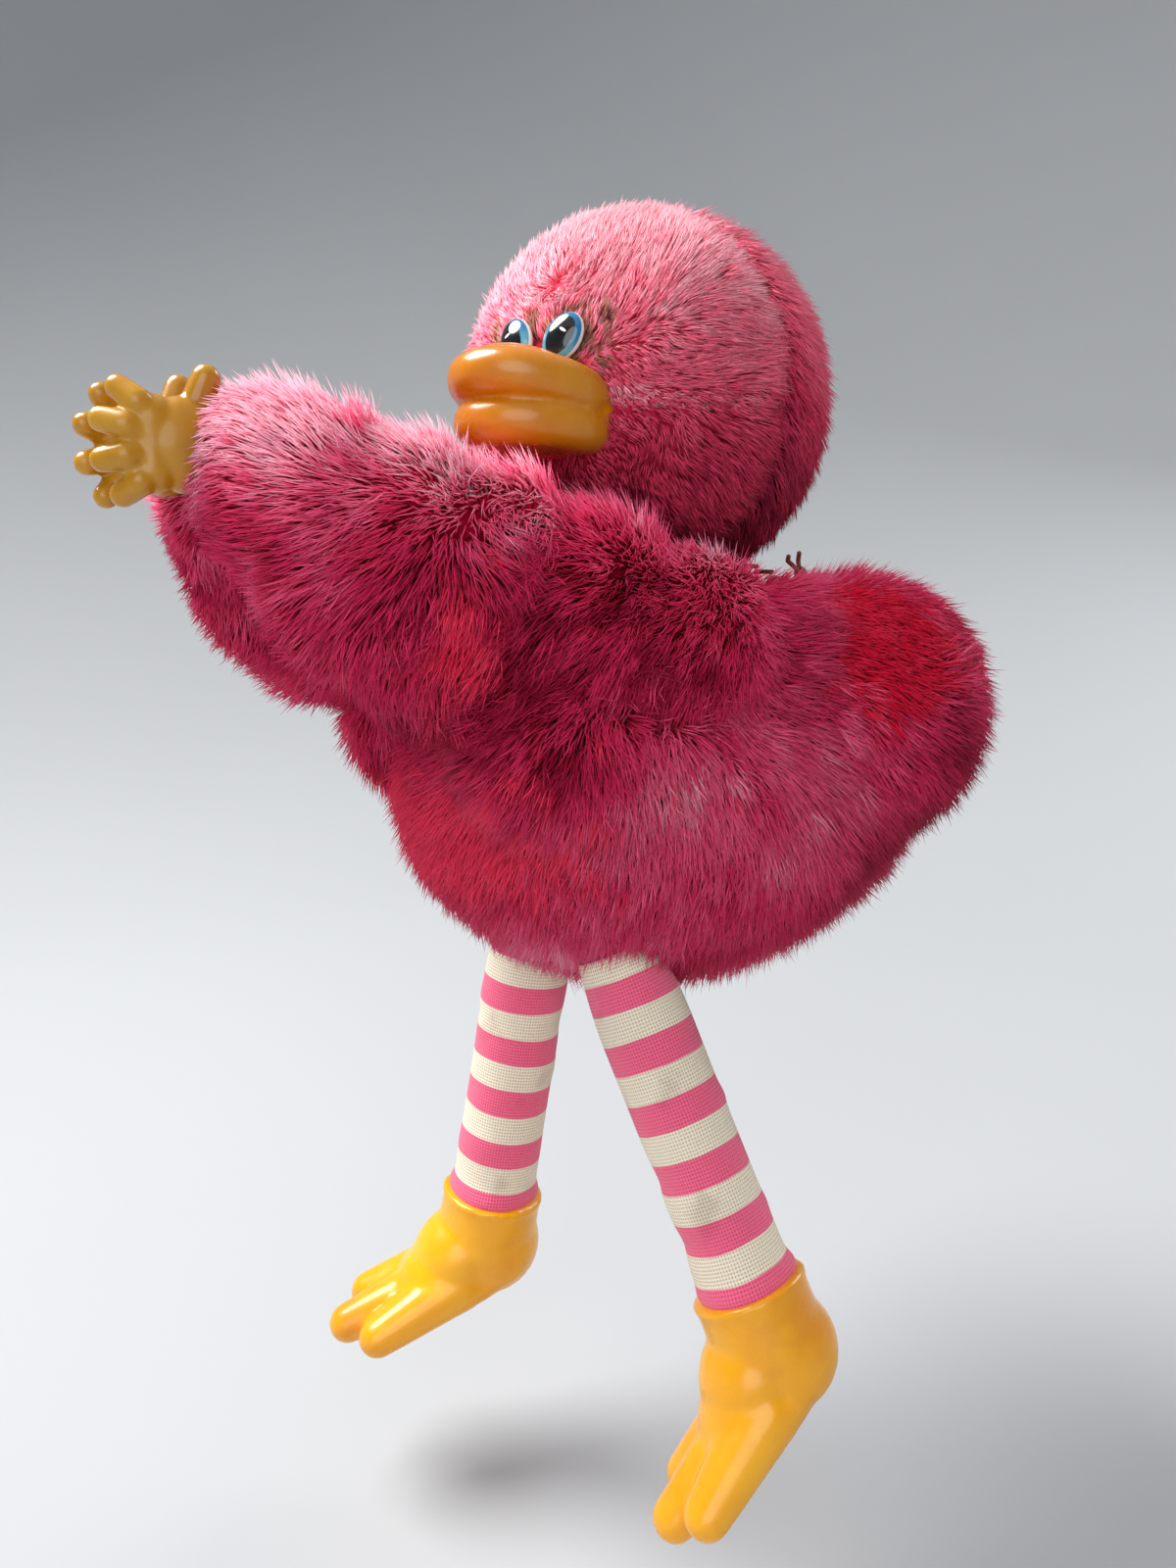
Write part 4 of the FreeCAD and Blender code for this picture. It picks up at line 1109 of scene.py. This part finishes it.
stripe = addRamp(clothTree, stripeWay, [
    (0.0, (0, 0, 0)), (0.02, (1, 1, 1)), (clothPlan["pinkShare"], (1, 1, 1)),
    (clothPlan["pinkShare"] + 0.02, (0, 0, 0))], False)
threadHeights = []
for direction, scale in clothPlan["threads"].items():
    thread = addNode(clothTree, "ShaderNodeTexWave", bands_direction=direction,
                     Scale=scale, Distortion=0.4)
    clothTree.links.new(clothUv.outputs[0], thread.inputs["Vector"])
    threadHeights.append(thread.outputs[1])
weave = addMath(clothTree, "MULTIPLY", *threadHeights)
dirt = addRamp(clothTree, addNoise(clothTree, 120.0, 5.0), [
    (0.55, (0, 0, 0)), (0.75, (0.5, 0.5, 0.5))])
creamTone = addMix(clothTree, dirt, *clothPlan["cream"])
pinkTone = addMix(clothTree, dirt, *clothPlan["pink"])
clothTone = addMix(clothTree, stripe, creamTone, pinkTone)
clothTone = addMix(clothTree, addMath(clothTree, "MULTIPLY", weave, 0.62),
                   clothTone, clothPlan["threadGap"], "MULTIPLY")
clothTree.links.new(clothTone, clothShader.inputs["Base Color"])
addBump(clothTree, clothShader, weave, 0.8, 0.00016)


def clothTube(side):
    place = legFrame(side)
    bpy.ops.mesh.primitive_cylinder_add(
        vertices=clothPlan["around"], radius=legPlan["radius"] * milli, depth=1,
        end_fill_type="NGON")
    tube = bpy.context.object
    tube.name = f"leg_cloth_{sideNames[side]}"
    takeUp(tube)
    bpy.ops.object.mode_set(mode="EDIT")
    for up in np.linspace(-0.5, 0.5, clothPlan["rings"] + 2)[1:-1]:
        bpy.ops.mesh.select_all(action="SELECT")
        bpy.ops.mesh.bisect(plane_co=(0, 0, up), plane_no=(0, 0, 1))
    bpy.ops.object.mode_set(mode="OBJECT")
    points = pointsOf(tube.data)
    share = 0.5 - points[:, 2]  # 0 at the hip, 1 inside the boot
    angle = np.arctan2(points[:, 1], points[:, 0])
    radius = np.hypot(points[:, 0], points[:, 1]) / milli
    inside = radius < 0.5
    down = share * clothLength
    # flat and wide where it is gathered at the hip, round lower down
    opened = np.sin(rising(down, 0, clothPlan["gatherRun"]) * math.pi / 2)
    wide = clothPlan["radius"] * (1 + clothPlan["gather"] - clothPlan["gather"] * opened)
    deep = clothPlan["radius"] * (1 - clothPlan["flatten"] + clothPlan["flatten"] * opened)
    rng = np.random.default_rng(11 + side)
    crease = np.zeros(len(points))
    for _ in range(clothPlan["creases"]):
        lean = rng.uniform(-2.5, 2.5)
        where = rng.uniform(0, 1) ** 0.7 * clothLength
        reach = rng.uniform(1.1, 2.6)
        facing = rng.uniform(-math.pi, math.pi)
        fold = np.exp(-((down - where - lean * np.cos(angle - facing)) / reach) ** 2)
        crease += fold * np.clip(np.cos(angle - facing) + 0.3, 0, 1) * rng.uniform(-0.42, 0.30)
    tuck = np.exp(-((down - clothLength + 4.6) / 1.5) ** 2)  # bulges just above the boot's lip
    tuck = tuck * 0.55 * (1 + 0.5 * np.cos(3 * angle + 1.0))
    sag = -0.25 * np.sin(math.pi * np.clip(share, 0, 1))
    scale = (1 + (crease + tuck + sag) / clothPlan["radius"])
    x = np.cos(angle) * wide * scale
    y = np.sin(angle) * deep * scale
    z = clothPlan["topRise"] - down
    made = np.stack([np.where(inside, 0, x), np.where(inside, 0, y), z], 1) * milli
    tube.data.vertices.foreach_set("co", made.ravel())
    corners = cornersOf(tube.data)
    turn = (angle / (2 * math.pi) + 0.5)[corners]
    starts = np.empty(len(tube.data.polygons), int)
    totals = np.empty(len(tube.data.polygons), int)
    tube.data.polygons.foreach_get("loop_start", starts)
    tube.data.polygons.foreach_get("loop_total", totals)
    for start, total in zip(starts, totals):  # faces across the map's seam keep their width
        face = turn[start:start + total]
        if face.max() - face.min() > 0.5:
            face[face < 0.5] += 1
    mapped(tube.data, np.stack([turn, share[corners]], 1))
    tube.data.transform(place)
    tube.data.update()
    coloured(tube, clothFinish)
    return smoothShaded(tube, 60)


# ---- boots: a cuff with a rolled lip, heel, instep and three toes
bootPlan = {
    "wall": 0.7,
    "lip": 0.5,
    "height": 17.0,
    "heelBack": 5.5,
    "toeFront": 31.5,
    "width": 17.0,
    "toe": 3.5,
    "toeShort": 4.2,
    "shaft": 9.0,
    # fillings of the foot: back from the heel's middle, up from the sole, radii (the first as a
    # share of half the width) and slope
    "fillings": [((-8.0, 5.6), (0.86, 9.5, 6.4), 24), ((-6.5, 4.2), (0.90, 11.5, 4.6), 2),
                 ((-4.5, 8.5), (0.88, 8.5, 7.0), 20)],
    "voxel": 0.5,
    "rounds": 9,
}


def bootOf(side):
    rim = legFrame(side) @ Matrix.Translation((0, 0, -legPlan["length"] * milli))
    foot = rim @ Matrix.Rotation(math.radians(legPlan["bootFlex"]), 4, "X")
    cuff = legPlan["radius"] + bootPlan["wall"]
    heel = bootPlan["width"] / 2
    sole = -bootPlan["height"]
    lumps = addRod((0, 0, -8.0), (0, 0, -9.0), cuff - 0.2, cuff - 0.3, within=rim)
    bpy.ops.mesh.primitive_cylinder_add(
        vertices=64, radius=cuff * milli, depth=bootPlan["shaft"] * milli)
    shaft = bpy.context.object
    shaft.matrix_world = rim @ Matrix.Translation((0, 0, -bootPlan["shaft"] / 2 * milli))
    lumps.append(settled(shaft))
    bpy.ops.mesh.primitive_torus_add(
        major_segments=64, minor_segments=12, major_radius=(cuff - 0.1) * milli,
        minor_radius=bootPlan["lip"] * milli)
    roll = bpy.context.object
    roll.matrix_world = rim @ Matrix.Translation((0, 0, -bootPlan["lip"] * milli))
    lumps.append(settled(roll))
    heelBack = bootPlan["heelBack"] - heel
    lumps.append(addLump((0, heelBack, sole + heel - 0.3), (heel * 0.92, heel, heel), within=foot))
    for (back, up), (share, *radii), slope in bootPlan["fillings"]:
        lumps.append(addLump((0, heelBack + back, sole + up), (heel * share, *radii),
                             turn=(slope, 0, 0), within=foot))
    toe = bootPlan["toe"]
    for fan in (-1, 0, 1):
        short = abs(fan) * bootPlan["toeShort"]
        tip = (fan * 6.2, toe + short - bootPlan["toeFront"], sole + toe - 0.9)
        root = (fan * 3.3, heelBack - 6.5, sole + 4.9)
        lumps += addRod(root, tip, toe * 1.35, toe * 0.90, within=foot)
    tail = sideNames[side]
    boot = moulded(f"boot_vinyl_{tail}", lumps, bootPlan["voxel"], bootPlan["rounds"], bootFinish)
    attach(boot, f"leg_{tail}")
    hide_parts(f"boot_{tail}")


for side in (left, right):
    tail = sideNames[side]
    tube = clothTube(side)
    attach(tube, f"leg_{tail}")
    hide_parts(f"leg_sleeve_{tail}", f"leg_stuffing_{tail}")
    bootOf(side)
print("legs and boots made")

# ---- finishes of the CAD pieces that stay
def stainedFinish(name, scale, detail, deep, pale, **sockets):
    # a tone that wanders between two, by a noise of the given scale
    finish, tree, shader = newFinish(name, **sockets)
    tone = addRamp(tree, addNoise(tree, scale, detail), [(0.3, deep), (0.7, pale)])
    tree.links.new(tone, shader.inputs["Base Color"])
    return finish, tree, shader


clipFinish, clipTree, clipShader = stainedFinish(
    "clipPlastic", 60.0, 3.0, (0.70, 0.69, 0.66), (0.80, 0.79, 0.76), Roughness=0.35)
addBump(clipTree, clipShader, addNoise(clipTree, 600.0, 2.0), 0.2, 0.00008)
steelFinish, steelTree, steelShader = stainedFinish(
    "springSteel", 300.0, 3.0, (0.46, 0.46, 0.47), (0.62, 0.62, 0.63), Metallic=1.0)
steelTree.links.new(
    addRamp(steelTree, addNoise(steelTree, 800.0, 2.0, stretch=(1, 1, 6)), [
        (0.3, (0.25,) * 3), (0.7, (0.45,) * 3)]),
    steelShader.inputs["Roughness"])
threadFinish, threadTree, threadShader = stainedFinish(
    "brownThread", 900.0, 3.0, (0.13, 0.055, 0.03), (0.24, 0.11, 0.06), Roughness=0.8)
addBump(threadTree, threadShader, addNoise(threadTree, 2500.0, 2.0, stretch=(1, 1, 4)), 0.5, 0.0001)
tabFinish, tabTree, tabShader = stainedFinish(
    "tabCotton", 500.0, 3.0, (0.62, 0.54, 0.42), (0.80, 0.72, 0.58), Roughness=0.9)
addBump(tabTree, tabShader, addNoise(tabTree, 2200.0, 2.0), 0.5, 0.0001)

# ---- the closing thread's knot, which stands in the fur with two cut ends
knotPlan = {
    "knot": ((0.2, 97.6, -15.6), (1.3, 1.0, 1.1)),
    "radius": 0.38,
    "voxel": 0.16,
    "rounds": 2,
    "ends": [[(0.0, 97.8, -17.6), (0.3, 97.2, -15.0), (1.0, 96.2, -13.6), (2.2, 95.2, -12.4)],
             [(0.3, 97.4, -16.2), (1.2, 95.6, -14.8), (1.4, 93.6, -13.6), (2.8, 92.4, -12.9)]],
}
knotLumps = [addLump(*knotPlan["knot"], turn=(20, 30, 0), rings=14)]
for end in knotPlan["ends"]:
    for start, stop in zip(end, end[1:]):
        knotLumps += addRod(start, stop, knotPlan["radius"], knotPlan["radius"], sides=16)
knot = moulded(
    "closing_thread_knot", knotLumps, knotPlan["voxel"], knotPlan["rounds"], threadFinish)
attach(knot, "torso")
keptFinishes = {
    "clip_lever_left": clipFinish, "clip_lever_right": clipFinish,
    "clip_pivot_pin": steelFinish, "clip_spring": steelFinish,
    "neck_thread": threadFinish, "closing_thread": threadFinish,
    "hip_tab_left": tabFinish, "hip_tab_right": tabFinish,
}
for name, finish in keptFinishes.items():
    coloured(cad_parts[name], finish)
print("finishes given")

deselectAll()
bpy.context.view_layer.update()
